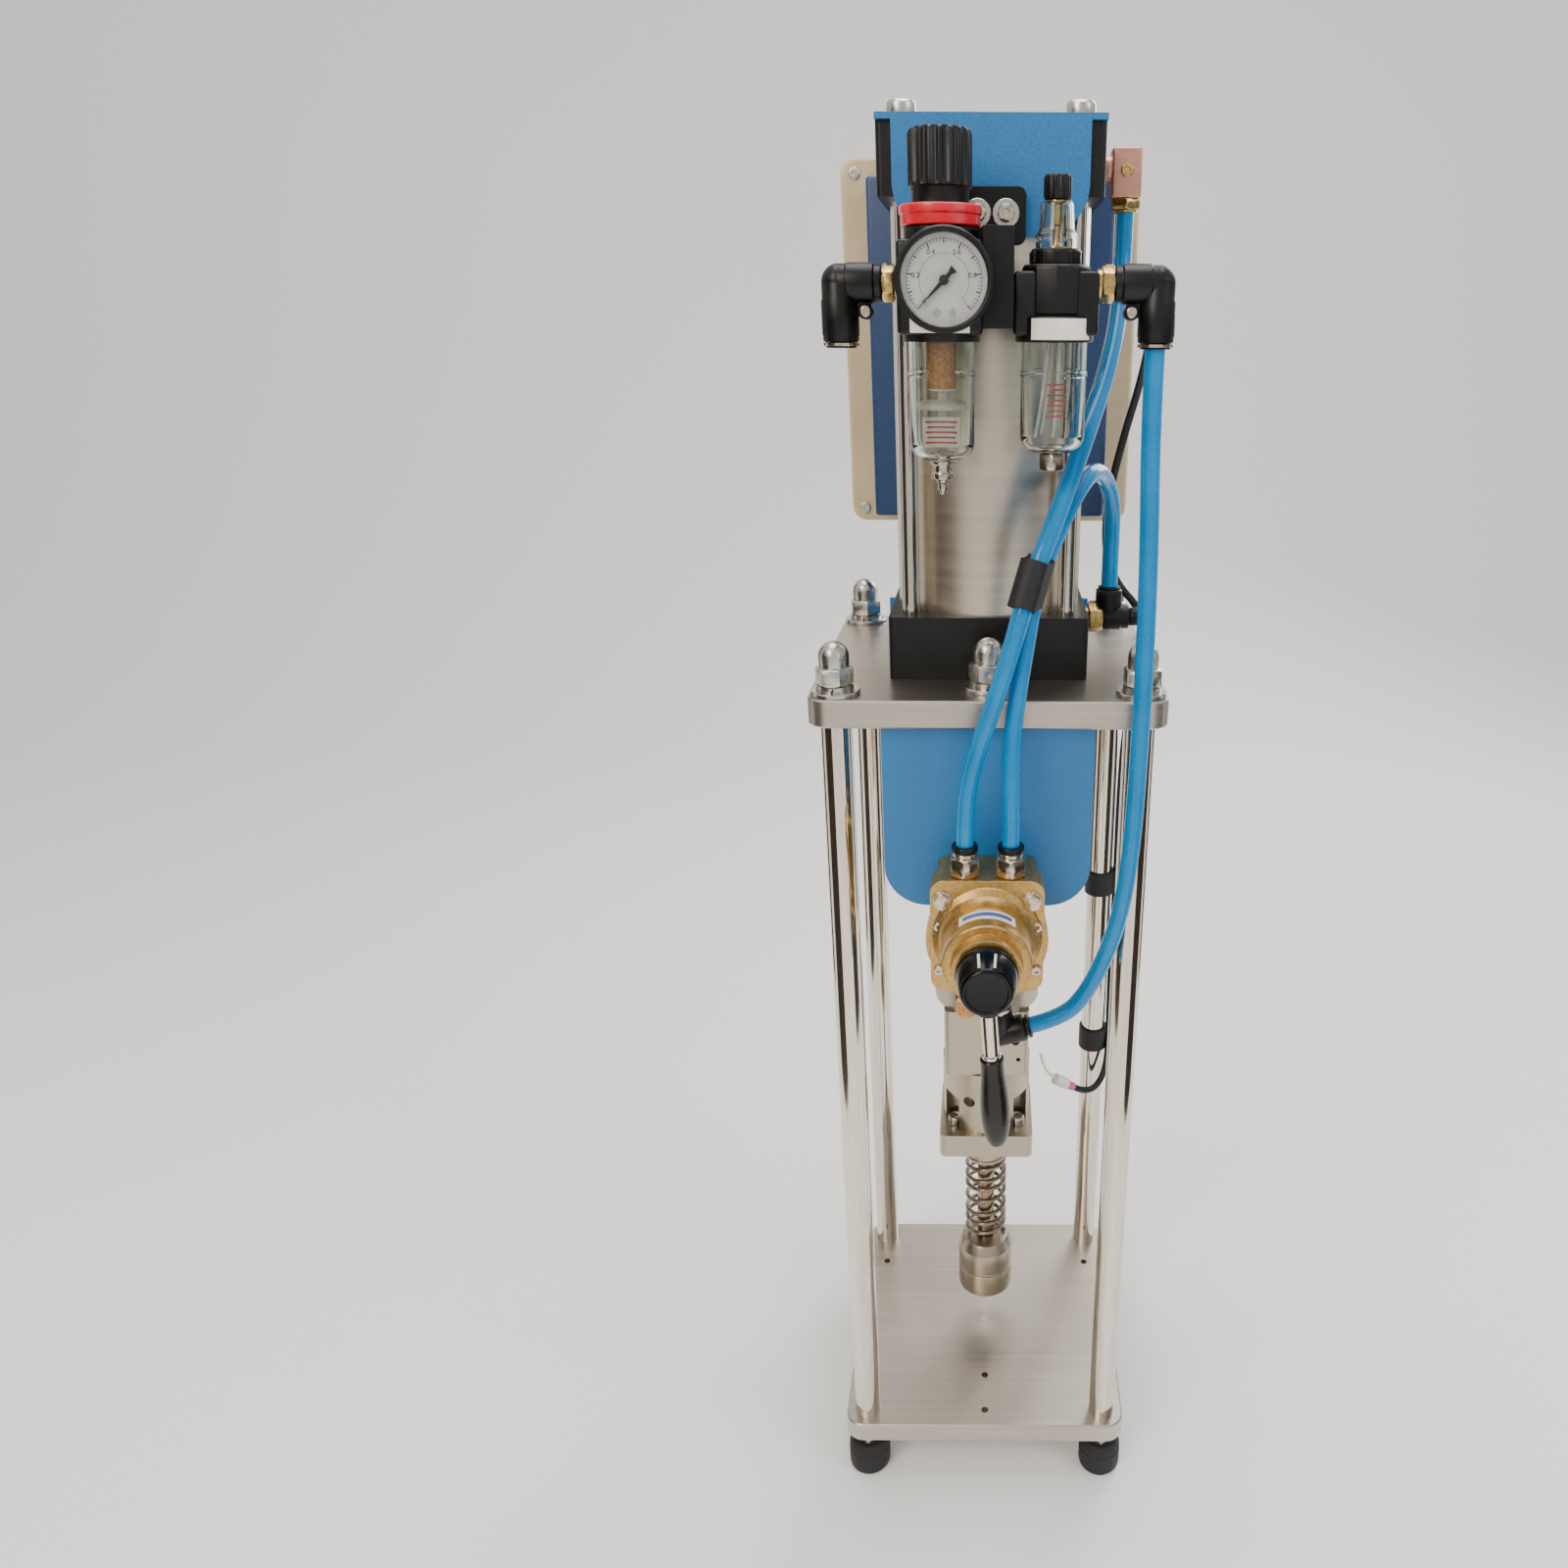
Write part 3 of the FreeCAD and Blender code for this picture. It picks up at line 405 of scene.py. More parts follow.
hoseRoutes = {
    "upper_port_hose": ((73, 0, 791), (73, 0, 758), (67, -30, 722), (52, -67, 684), (36, -94, 646),
                        (20.5, -112, 609), (12, -117, 578), (3, -117.6, 548), (-7, -117, 518),
                        (-12.6, -118, 492), (-12.6, -118, 467)),
    "lower_port_hose": ((73.5, 0, 587), (73.5, 0, 612), (72, -14, 641), (62, -38, 660), (51, -66, 659),
                        (38, -86, 639), (24.5, -101.5, 609), (19.5, -108, 578), (15, -110, 548),
                        (12.2, -114, 518), (12.9, -118, 492), (12.9, -118, 467)),
    "supply_hose": ((80, -100, 723), (80, -100, 686), (82, -106, 625), (82.6, -109, 554), (81.4, -113, 498),
                    (79.8, -116, 462), (76, -118, 427), (69, -118, 399), (59, -118, 374), (46, -118, 356),
                    (26, -118, 350)),
}
cableRoute = ((82, 100, 748), (96, 100, 748), (102, 86, 729), (95, 69, 702), (84, 57, 668), (76, 54, 632),
    (75, 55, 600), (84, 56, 577), (101, 55, 560), (106.5, 58, 532), (104, 70, 501), (98, 82, 470),
    (97, 85, 415), (97.4, 84.6, 345), (97, 85.4, 276), (97.3, 84.9, 228), (97.5, 80, 200), (94, 69, 181),
    (86, 63, 171), (76, 60, 171), (69, 57.5, 176.5))
leadRoute = ((53.2, 51.9, 188.9), (47, 49, 197), (43.5, 43, 209), (41, 36, 222))
hoseSize = {"diameter": 10, "lengths": {"upper_port_hose": 374, "lower_port_hose": 327, "supply_hose": 395}}
cableSize = {"diameter": 5, "length": 643, "leadDiameter": 2.2}


def cordCurve(name, points, diameter):
    data = bpy.data.curves.new(name, "CURVE")
    data.dimensions = "3D"
    spline = data.splines.new("NURBS")
    spline.points.add(len(points) - 1)
    for point, place in zip(spline.points, points):
        point.co = (*[c * mm for c in place], 1)
    spline.order_u = 3
    spline.use_endpoint_u = True
    spline.resolution_u = 14
    data.bevel_depth = diameter / 2 * mm
    data.bevel_resolution = 6
    data.use_fill_caps = True
    made = bpy.data.objects.new(name, data)
    bpy.context.scene.collection.objects.link(made)
    return made


for nodeName, route in hoseRoutes.items():
    hose = cordCurve(nodeName + "_skin", route, hoseSize["diameter"])
    dress(hose, hoseSkin, nodeName)
print("hoses made")


# ---- copies of CAD shapes with their edges broken

def easedCopy(nodeName, bevel, material, body="frame"):
    source = nodes[nodeName]
    made = bpy.data.objects.new(nodeName + "_eased", source.data.copy())
    bpy.context.scene.collection.objects.link(made)
    focus(made)
    enter()
    bpy.ops.mesh.select_all(action="SELECT")
    bpy.ops.mesh.remove_doubles(threshold=2e-6)
    bpy.ops.mesh.dissolve_limited(angle_limit=radians(0.6))
    bpy.ops.mesh.normals_make_consistent(inside=False)
    leave()
    soften(made, bevel)
    useModifier(made, "WEIGHTED_NORMAL", {"keep_sharp": True})
    dress(made, material, nodeName, body=body)


easedFinish = (
    ("lower_cap", 0.8, blackAnodised),
    ("upper_cap", 0.8, blackAnodised),
    ("set_bracket", 0.5, powderCoat),
    ("valve_bracket", 0.5, powderCoat),
    ("rear_bracket", 0.5, powderCoat),
    ("tee_bracket", 0.8, blackNylon),
    ("valve_body", 1.2, goldCasting),
    ("head_block", 0.5, milledBlock, "ram"),
    ("flange_plate", 0.8, milledBlock, "ram"),
    ("tape_wraps", 0.4, clothTape),
)
for spec in easedFinish:
    easedCopy(*spec)
print("edges broken")


# ---- fasteners

def hexPrism(name, flats, at, along, length):
    # a hexagon with turned-down corners, standing on at
    begin()
    bpy.ops.mesh.primitive_cylinder_add(vertices=6, radius=flats / sqrt(3) * mm, depth=length * mm,
        location=(0, 0, length / 2 * mm))
    body = settle(bpy.context.object)
    body.name = name
    corner, land = flats * 0.585, flats * 0.475
    drop = (corner - land) * 0.577
    past = 0.05
    profile = ((land - past * 1.7, -past), (corner, drop), (corner, length - drop),
        (land - past * 1.7, length + past))
    tool = turned(name + "_turning", profile, sides=48, bevel=0)
    useModifier(body, "BOOLEAN", {"operation": "INTERSECT", "object": tool, "solver": "EXACT"})
    bpy.data.objects.remove(tool)
    soften(body, 0.12, 1)
    return aim(body, [c * mm for c in at], along)


def socketScrew(name, radius, height, at, along, key=0.5):
    # a cap screw: plain side, dished rim and a hexagon socket
    body = turned(name, ((radius * 0.94, 0), (radius, height * 0.12), (radius, height * 0.8),
        (radius * 0.86, height)), at, along, 36, 0.1)
    start = Vector(at) + Vector(along).normalized() * height * 0.45
    tool = turned(name + "_key", ((radius * key, 0), (radius * key, height)), start, along, 6, 0)
    return soften(carve(body, tool), 0.08, 1)


acorn = {"flats": 19.0, "seat": 549.5, "height": 10.0, "radius": 8.5, "low": 544.0, "place": 85.0,
    "middle": -76.0, "hole": 6.4}


def acornNuts(spec):
    hole = spec["hole"]
    top = spec["seat"] + spec["height"]
    radius = spec["radius"]
    dome = [(radius * 0.98, 0), (radius * 1.0, 0.8), (radius, 5.6)]
    dome += [(radius * cos(radians(a)), 5.6 + radius * sin(radians(a))) for a in range(9, 90, 9)]
    dome += [(0.1, 5.6 + radius)]
    for index, (x, y) in enumerate(((-1, 1), (1, 1), (-1, -1), (1, -1), (0, None))):
        px = x * spec["place"]
        py = spec["middle"] if y is None else y * spec["place"]
        turn = (13, 47, 22, 5, 31)[index]
        nut = hexPrism(f"acorn_hex_{index}", spec["flats"], (0, 0, 0), (0, 0, 1), spec["height"])
        nut.rotation_euler = (0, 0, radians(turn))
        nut.location = (px * mm, py * mm, spec["seat"] * mm)
        settle(nut)
        cap = turned(f"acorn_dome_{index}", dome, (px, py, top), sides=40, bevel=0)
        dress(join(f"acorn_nut_{index}", [nut, cap]), zincSteel, *firstOnly(index, "acorn_nuts"))
        dress(turned(f"flat_washer_{index}", ((hole, 0), (13.6, 0), (14, 0.5), (14, 2.0), (13.6, 2.5),
            (hole, 2.5), (hole, 0)), (px, py, spec["low"]), ring=True, bevel=0), zincSteel,
            *firstOnly(index, "column_washers"))
        split = turned(f"spring_washer_{index}", ((hole, 0), (10.5, 0), (10.5, 3), (hole, 3), (hole, 0)),
            (px, py, spec["low"] + 2.5), sides=48, ring=True, bevel=0)
        begin()
        bpy.ops.mesh.primitive_cube_add(size=1, location=(px * mm, (py - 8.5) * mm, (spec["low"] + 4) * mm),
            scale=(1.2 * mm, 7 * mm, 6 * mm), rotation=(0, radians(24), 0))
        carve(split, bpy.context.object)
        dress(soften(split, 0.2, 1), zincSteel)


acornNuts(acorn)

footing = {"place": 85.0, "low": -52.0, "top": -26.0, "nut": 19.0, "nutHeight": 10.0, "tie": 44.5}


def feetAndNuts(spec):
    place = spec["place"]
    low = spec["low"]
    rubber = ((12.2, low), (13.6, low + 0.5), (14.6, low + 2.0), (15, low + 4), (15, low + 17),
        (14.4, low + 17.6), (14.4, low + 18.8), (14.9, low + 19.4), (14.2, low + 22.5), (12.8, low + 25.2),
        (11.6, low + 26))
    foot = turned("rubber_foot", rubber, (-place, place, 0), sides=56)
    for index, piece in enumerate(copies(foot, cornerOffsets(place))):
        dress(piece, feetRubber, *firstOnly(index, "rubber_feet"))
    nut = hexPrism("foot_nut", spec["nut"], (-place, place, spec["top"]), (0, 0, 1), spec["nutHeight"])
    for index, piece in enumerate(copies(nut, cornerOffsets(place))):
        dress(piece, zincSteel, *firstOnly(index, "hex_nuts"))
    seat = highOf("set_bracket")[2]
    tie = socketScrew("tie_nut", 7.5, highOf("hex_nuts")[2] - seat, (-spec["tie"], spec["tie"], seat),
        (0, 0, 1))
    for piece in copies(tie, cornerOffsets(spec["tie"])):
        dress(piece, zincSteel)


feetAndNuts(footing)
print("fasteners made")


# ---- air preparation set

airSet = {"y": -100.0, "regulator": -23.5, "lubricator": 31.0, "port": 752.0, "low": 726.0}

knob = {"low": 785.3, "neck": 13.5, "step": 792.0, "radius": 15.0, "top": 816.5, "columns": 72, "depth": 0.90}


def regulatorKnob(spec):
    radius, top = spec["radius"], spec["top"]
    x, y = airSet["regulator"], airSet["y"]
    profile = ((spec["neck"], spec["low"]), (spec["neck"], spec["step"] - 1.5),
        (spec["neck"] + 0.6, spec["step"]), (radius, spec["step"] + 0.6), (radius, spec["step"] + 2.5),
        (radius, top - 3), (radius - 0.5, top - 1.2), (radius - 1.8, top - 0.2), (radius - 3, top),
        (radius - 3.4, top - 0.8), (3, top - 0.8), (2.6, top - 0.3), (0.3, top - 0.3))
    made = turned("knob_body", profile, (x, y, 0), sides=spec["columns"], bevel=0)
    step = 2 * pi / spec["columns"]

    def inFlute(co):
        turn = round(atan2(co.y - y * mm, co.x - x * mm) / step) % 4
        reach = hypot(co.y - y * mm, co.x - x * mm) / mm
        return turn in (0, 1) and reach > radius - 0.7 and spec["step"] + 2 < co.z / mm < top - 1

    pick(made, "VERT", inFlute)
    bpy.ops.transform.resize(value=(spec["depth"], spec["depth"], 1), center_override=(x * mm, y * mm, 0))
    leave()
    dress(soften(made, 0.25, 2, 40), blackNylon, "regulator_knob", body="pressure_knob")


regulatorKnob(knob)

lockRing = {"low": 776.0, "top": 785.0, "radius": 19.5}


def redLockRing(spec):
    low, top, r = spec["low"], spec["top"], spec["radius"]
    profile = ((6.1, low), (r - 1.4, low), (r - 0.8, low + 0.5), (r - 0.8, low + 4.6), (r - 0.2, low + 5.1),
        (r, low + 5.8), (r, top - 0.7), (r - 0.7, top), (14.6, top), (14.2, top - 0.6), (6.1, top - 0.6),
        (6.1, low))
    dress(turned("red_ring", profile, (airSet["regulator"], airSet["y"], 0), sides=80, bevel=0.15, ring=True),
        redAcetal, "lock_ring")


redLockRing(lockRing)

regulatorShell = {"half": 20.0, "low": 726.0, "shoulder": 770.0, "top": 776.0, "neck": 17.5, "bowlRing": 18.6}


def regulatorBody(spec):
    low = spec["low"]
    x, y = airSet["regulator"], airSet["y"]
    h = spec["half"]
    made = block("regulator_shell", (x - h, y - h + 2, low + 3), (x + h, y + h, spec["shoulder"]), 2.2, 3)
    neck = turned("regulator_neck", ((spec["neck"], spec["shoulder"] - 2), (spec["neck"], spec["top"] - 0.6),
        (spec["neck"] - 1, spec["top"])), (x, y, 0), sides=56)
    collar = turned("regulator_collar", ((spec["bowlRing"], low), (spec["bowlRing"], low + 9),
        (spec["bowlRing"] - 1, low + 10)), (x, y, 0), sides=56)
    boss = turned("gauge_boss", ((10, 0), (10, 3), (8, 4)), (x + 2.7, y - h + 2.4, airSet["port"]), (0, -1, 0))
    dress(join("regulator_housing", [made, neck, collar, boss]), blackNylon, "regulator_body")
    dress(block("regulator_label", (x - 14, y - h - 0.1, 730), (x + 14, y - h + 2.6, 741), 0.5, 2), labelPaper)


regulatorBody(regulatorShell)

gauge = {"x": -20.8, "z": 752.0, "radius": 22.3, "front": -138.0, "back": -122.0, "wall": 2.8, "start": -135,
    "sweep": 270, "numbers": ("0", "0.2", "0.4", "0.6", "0.8", "1")}


def gaugeCase(spec):
    r, depth = spec["radius"], spec["back"] - spec["front"]
    inner = r - spec["wall"]
    profile = ((inner, -6), (inner, -1.2), (inner + 0.4, -0.3), (inner + 1.0, 0), (r - 0.8, 0), (r, -0.9),
        (r, -4.2), (r - 0.6, -4.8), (r - 0.6, -6.0), (r, -6.6), (r - 0.3, 3 - depth), (r - 3, -depth),
        (inner - 8, -depth), (inner - 8, -6), (inner, -6))
    made = turned("gauge_case_shell", profile, (spec["x"], spec["front"], spec["z"]), (0, -1, 0), 96, 0.1, True)
    stem = turned("gauge_stem", ((5, 0), (6.2, 1), (6.2, 3), (5, 4), (9, 6)),
        (spec["x"], spec["back"] + 2, spec["z"]), (0, -1, 0), 6, 0.2)
    dress(made, blackNylon, "gauge_case")
    dress(stem, machinedBrass)


gaugeCase(gauge)


def dialPoint(spec, turn, reach):
    angle = radians(90 - turn)
    return spec["x"] + reach * cos(angle), spec["z"] + reach * sin(angle)


def dialMarks(spec):
    face = spec["front"] + 4.9
    marks = []

    def mark(turn, reach, wide, tall):
        x, z = dialPoint(spec, turn, reach)
        begin()
        bpy.ops.mesh.primitive_cube_add(size=1, location=(x * mm, face * mm, z * mm),
            scale=(wide * mm, 0.06 * mm, tall * mm), rotation=(0, radians(turn), 0))
        marks.append(settle(bpy.context.object))

    for index in range(51):
        long = 2.6 if index % 10 == 0 else 1.9 if index % 5 == 0 else 1.2
        mark(spec["start"] + spec["sweep"] * index / 50, 17.0 - long / 2, 0.5 if index % 5 == 0 else 0.26, long)
    for reach, wide in ((17.2, 0.2), (11.2, 0.16)):
        for index in range(54):
            mark(spec["start"] + spec["sweep"] * (index + 0.5) / 54, reach, reach * 0.0875, wide)
    dress(join("dial_marks", marks), printInk)
    figures = []
    for index, label in enumerate(spec["numbers"]):
        turn = spec["start"] + spec["sweep"] * index / (len(spec["numbers"]) - 1)
        x, z = dialPoint(spec, turn, 12.9)
        begin()
        bpy.ops.object.text_add(location=(x * mm, face * mm, z * mm), rotation=(radians(90), 0, 0))
        figure = bpy.context.object
        figure.data.body = label
        figure.data.size = 3.1 * mm
        figure.data.extrude = 0.03 * mm
        figure.data.align_x = "CENTER"
        figure.data.align_y = "CENTER"
        figure.data.resolution_u = 3
        bpy.ops.object.convert(target="MESH")
        figures.append(settle(bpy.context.object))
    dress(join("dial_figures", figures), printInk)
    for side in (-1, 1):
        dress(socketScrew(f"dial_screw_{side + 1}", 1.7, 0.7, (spec["x"] + side * 3.6, face, spec["z"] - 13.2),
            (0, -1, 0)), zincSteel)
    dress(turned("needle_hub", ((2.2, 0), (2.2, 0.5), (1.4, 0.9)), (spec["x"], spec["front"] + 3, spec["z"]),
        (0, -1, 0), 32, 0.1), printInk, body="needle")


dialMarks(gauge)
print("gauge made")

bowls = {"low": 670.0, "high": 726.0, "radius": 16.0, "wall": 1.6, "end": 9.0}


def bowlShell(name, x, low, high, replaced):
    r, w = bowls["radius"], bowls["wall"]
    outer = [(bowls["end"] * 0.6, low), (bowls["end"], low + 0.6)]
    outer += [(r - 8 + 8 * sin(radians(a)), low + 9 - 8 * cos(radians(a))) for a in range(15, 91, 15)]
    outer += [(r, high - 16), (r + 0.5, high - 15.5), (r + 0.5, high - 13.5), (r, high - 13), (r, high)]
    inner = [(r - w, high), (r - w, low + 9)]
    inner += [(r - 8 - w + 8 * sin(radians(a)), low + 9 + w - 8 * cos(radians(a))) for a in range(75, 14, -15)]
    inner += [(1.0, low + 1.4 + w)]
    made = turned(name, outer + inner, (x, airSet["y"], 0), sides=72, bevel=0)
    ribs = []
    for turn in range(0, 360, 45):
        angle = radians(turn + 12)
        px, py = x + (r - w - 0.5) * cos(angle), airSet["y"] + (r - w - 0.5) * sin(angle)
        ribs.append(block("rib", (px - 0.5, py - 0.5, high - 12), (px + 0.5, py + 0.5, high - 3), 0.15, 1))
    dress(made, clearBowl, *replaced)
    dress(join(name + "_ribs", ribs), clearBowl)


def printedBars(name, at, width, count, pitch):
    # short plain bars where the moulding carries its print
    x, y, z = at
    bars = []
    for index in range(count):
        level, reach = z + (index - (count - 1) / 2) * pitch, width / 2 - 0.9 * (index % 2)
        bars.append(block("bar", (x - reach, y, level - 0.45), (x + reach, y + 0.1, level + 0.45), 0, 1))
    return join(name, bars)


filterUnit = {"low": 670.0, "elementLow": 704.0, "elementRadius": 6.8, "baffleRadius": 12.8}


def filterParts(spec):
    elementRadius = spec["elementRadius"]
    x, y = airSet["regulator"], airSet["y"]
    bowlShell("filter_bowl_shell", x, spec["low"], bowls["high"], ["filter_bowl"])
    dress(turned("sintered_element", ((elementRadius - 0.4, spec["elementLow"]),
        (elementRadius, spec["elementLow"] + 0.6), (elementRadius + 0.5, 724), (elementRadius + 0.5, 725.6)),
        (x, y, 0), sides=48), sinteredBronze, "filter_element")
    r = spec["baffleRadius"]
    dress(turned("baffle", ((2, 698.6), (r - 0.8, 697.6), (r, 696.6), (r, 695), (r - 0.6, 695),
        (r - 0.8, 696.4), (2, 697.4), (2, 698.6)), (x, y, 0), sides=56, ring=True, bevel=0.1), whiteNylon)
    dress(turned("element_stem", ((2.2, 690), (2.2, 703), (6.4, 703.2), (6.6, 704.2)), (x, y, 0), sides=32),
        whiteNylon)
    dress(block("level_card", (x - 9, y - bowls["radius"] + 3.2, 678), (x + 9, y - bowls["radius"] + 3.5, 692),
        0.1, 1), labelPaper)
    dress(printedBars("level_bars", (x, y - bowls["radius"] + 3.15, 685), 15, 5, 2.4), redInk)
    socket = turned("drain_socket", ((5.2, 661.5), (5.6, 662), (5.6, 664.5), (5.0, 665), (5.0, 668.5),
        (6.4, 669), (6.4, 671.5), (3.2, 672.4)), (x, y, 0), sides=40)
    dress(join("drain_fitting", [socket, turned("drain_nose", ((2.9, 659.8), (3.2, 660.2), (3.2, 661.6)),
        (x, y, 0), sides=32)]), nickelPlate)
    dress(turned("drain_tip", ((1.1, 654), (1.5, 654.5), (1.5, 656), (2.6, 656.2), (2.6, 659.2), (1.5, 659.5),
        (1.5, 662)), (x, y, 0), sides=28, bevel=0.12), nickelPlate, "drain_pin", body="drain")


filterParts(filterUnit)

lubricatorUnit = {"bowlLow": 674.0, "knobTop": 798.0}


def lubricatorParts(spec):
    x, y = airSet["lubricator"], airSet["y"]
    bowlShell("lubricator_bowl_shell", x, spec["bowlLow"], bowls["high"], ["lubricator_bowl"])
    dress(printedBars("drop_bars", (x + 1, y - bowls["radius"] + 2.2, 700), 9, 7, 2.4), redInk)
    dress(hexPrism("lubricator_plug", 12, (x, y, spec["bowlLow"] - 8), (0, 0, 1), 8.6), nickelPlate,
        slot="clear_plastic")
    wings = block("wings", (x - 20, y - 13, 729), (x + 20, y + 20, 757), 1.8, 3)
    facets = turned("facets", ((16.0, 737.6), (16.8, 738.6), (16.8, 758.6), (15.6, 760)), (x, y, 0), sides=10,
        bevel=0.6)
    ring = turned("bowl_ring", ((18.2, 726), (18.8, 726.6), (18.8, 737), (18.2, 737.6)), (x, y, 0), sides=56)
    collar = turned("dome_collar", ((12, 759.4), (12, 765.8), (11.2, 767), (9.4, 767)), (x, y, 0), sides=48)
    notches = []
    for turn in range(0, 360, 30):
        angle = radians(turn)
        px, py = x + 12 * cos(angle), y + 12 * sin(angle)
        notches.append(block("rib", (px - 0.7, py - 0.7, 760.5), (px + 0.7, py + 0.7, 765.6), 0.2, 1))
    dress(join("lubricator_housing", [wings, facets, ring, collar] + notches), blackNylon, "lubricator_body")
    label = turned("lubricator_label", ((19.1, 727.2), (19.1, 736.6)), (x, y, 0), sides=96, bevel=0, ring=True)
    pick(label, "FACE", lambda middle, normal: normal.y > -0.55 or normal.x < -0.62)
    bpy.ops.mesh.delete(type="FACE")
    leave()
    useModifier(label, "SOLIDIFY", {"thickness": 0.25 * mm, "offset": 0})
    dress(soften(label, 0), labelPaper)
    dress(turned("dome_shell", ((9.6, 767), (9.8, 768), (9.8, 773), (8.4, 775), (7.8, 785.5), (7.0, 787),
        (5.8, 787), (6.4, 784.5), (7.0, 775.5), (8.2, 772.5), (8.2, 767), (9.6, 767)), (x, y, 0), sides=56,
        ring=True, bevel=0), clearBowl, "sight_dome")
    dress(turned("drip_tube", ((4.6, 767.2), (4.6, 768.4), (2.0, 768.8), (2.0, 776), (3.0, 777), (3.0, 785),
        (4.8, 786), (4.8, 787)), (x, y, 0), sides=32), machinedBrass)
    top = spec["knobTop"]
    head = turned("drip_knob_body", ((5.4, 787.3), (6.0, 787.8), (6.5, 789), (6.5, top - 1), (5.8, top),
        (2.4, top), (2.4, top - 1.2), (0.2, top - 1.2)), (x, y, 0), sides=60, bevel=0)
    step = 2 * pi / 60

    def inFlute(co):
        turn = round(atan2(co.y - y * mm, co.x - x * mm) / step) % 5
        return turn in (0, 1) and hypot(co.y - y * mm, co.x - x * mm) > 6.3 * mm

    pick(head, "VERT", inFlute)
    bpy.ops.transform.resize(value=(0.92, 0.92, 1), center_override=(x * mm, y * mm, 0))
    leave()
    dress(soften(head, 0.15, 1, 40), blackNylon, "drip_knob", body="drip_adjuster")
    for index, (top, foot) in enumerate((((-3, -3), (-8.5, -6)), ((-1, 1), (-5.5, 2)), ((2, -2), (0, -8)))):
        points = ((x + top[0], y + top[1], 727), (x + (top[0] + foot[0]) / 2 + 1.5, y + (top[1] + foot[1]) / 2,
            703), (x + foot[0], y + foot[1], 682))
        tubePiece = cordCurve(f"siphon_{index}", points, 1.8)
        focus(tubePiece)
        bpy.ops.object.convert(target="MESH")
        dress(soften(bpy.context.object, 0), labelPaper, slot="clear_plastic")


lubricatorParts(lubricatorUnit)
print("air set made")


# ---- elbows, nipples and ports

elbow = {"left": -72.0, "right": 80.0, "mouth": 723.0, "radius": 9.0, "starts": (-51.5, 59.0)}


def pushInElbow(name, x, start, side, replaced):
    y, z, r = airSet["y"], airSet["port"], elbow["radius"]
    reach = abs(x - start)
    arm = turned(name + "_arm", ((7.4, 0), (8.0, 0.6), (8.0, 3.4), (r, 4.0), (r, reach - 4),
        (r - 0.5, reach - 3.4), (r - 0.5, reach)), (start, y, z), (side, 0, 0), sides=56)
    drop = z - elbow["mouth"]
    leg = turned(name + "_leg", ((r - 0.5, 0), (r - 0.5, 7), (r, 8), (r, drop - 6), (r - 0.3, drop - 5.4),
        (r - 0.3, drop - 3.4), (r - 1.2, drop - 2.6), (5.6, drop - 2.6), (5.6, drop - 8)), (x, y, z),
        (0, 0, -1), sides=56)
    begin()
    bpy.ops.mesh.primitive_uv_sphere_add(segments=40, ring_count=20, radius=(r - 0.5) * mm,
        location=(x * mm, y * mm, z * mm))
    corner = settle(bpy.context.object)
    web = block(name + "_web", (min(x - side * 15, x), y - 2.2, z - 15), (max(x - side * 15, x), y + 2.2, z),
        0.8, 2)
    lug = turned(name + "_lug", ((3.6, 0), (3.6, 8.4), (3.0, 9.0)), (x - side * 12.6, y + 4.5, z - 12.6),
        (0, -1, 0), sides=32)
    dress(join(name, [arm, leg, corner, web, lug]), blackNylon, *replaced)
    dress(socketScrew(name + "_eye", 2.5, 1.0, (x - side * 12.6, y - 4.5, z - 12.6), (0, -1, 0), 0.45),
        nickelPlate, slot="zinc_steel")
    dress(turned(name + "_band", ((r - 1.0, 0), (r - 0.2, 0.2), (r - 0.2, 1.5), (r - 1.0, 1.7), (5.7, 1.7),
        (5.7, 0), (r - 1.0, 0)), (x, y, elbow["mouth"] + 2.5), (0, 0, -1), sides=56, ring=True, bevel=0),
        nickelPlate)
    dress(turned(name + "_collet", ((5.5, -8), (5.5, 0), (7.4, 0.2), (7.4, 0.8), (7.0, 1.0), (5.2, 1.0),
        (5.2, -8), (5.5, -8)), (x, y, elbow["mouth"] + 1.0), (0, 0, -1), sides=48, ring=True, bevel=0),
        blackNylon)


pushInElbow("elbow_left", elbow["left"], elbow["starts"][0], -1, ["push_in_elbows"])
pushInElbow("elbow_right", elbow["right"], elbow["starts"][1], 1, [])
for index, side in enumerate((-1, 1)):
    start = elbow["starts"][index]
    nipple = hexPrism(f"nipple_{index}", 15, (start, airSet["y"], airSet["port"]), (-side, 0, 0), 6.2)
    dress(join(f"nipple_{index}", [nipple, turned(f"nipple_thread_{index}", ((6.6, 0), (6.6, 2.2)),
        (start - side * 6, airSet["y"], airSet["port"]), (-side, 0, 0), sides=40)]), machinedBrass,
        *firstOnly(index, "pipe_nipples"))

portElbow = {"x": 72.6, "half": 8.0, "low": 798.0, "high": 822.0}


def topPort(spec):
    x, h = spec["x"], spec["half"]
    body = block("port_block", (x - h, -h, spec["low"]), (x + h, h, spec["high"]), 1.2, 3)
    dress(join("port_block", [body, turned("port_stub", ((5, 0), (5, 4.2), (6.8, 4.4), (6.8, 8.6)),
        (57, 0, 812), (1, 0, 0), sides=40)]), copperBlock, "port_elbow")
    dress(socketScrew("port_plug", 3.4, 0.9, (x, -h, 811), (0, -1, 0), 0.5), machinedBrass)
    nut = hexPrism("port_hex", 14.6, (x + 0.4, 0, 792.5), (0, 0, 1), 5.6)
    dress(join("port_hex", [nut, turned("port_collet", ((5.4, 0), (6.6, 0.3), (6.6, 1.3), (5.4, 1.5)),
        (x + 0.4, 0, 791), sides=40)]), machinedBrass)


topPort(portElbow)

flowValve = {"x": 73.5, "z": 568.0, "mouth": 587.0}


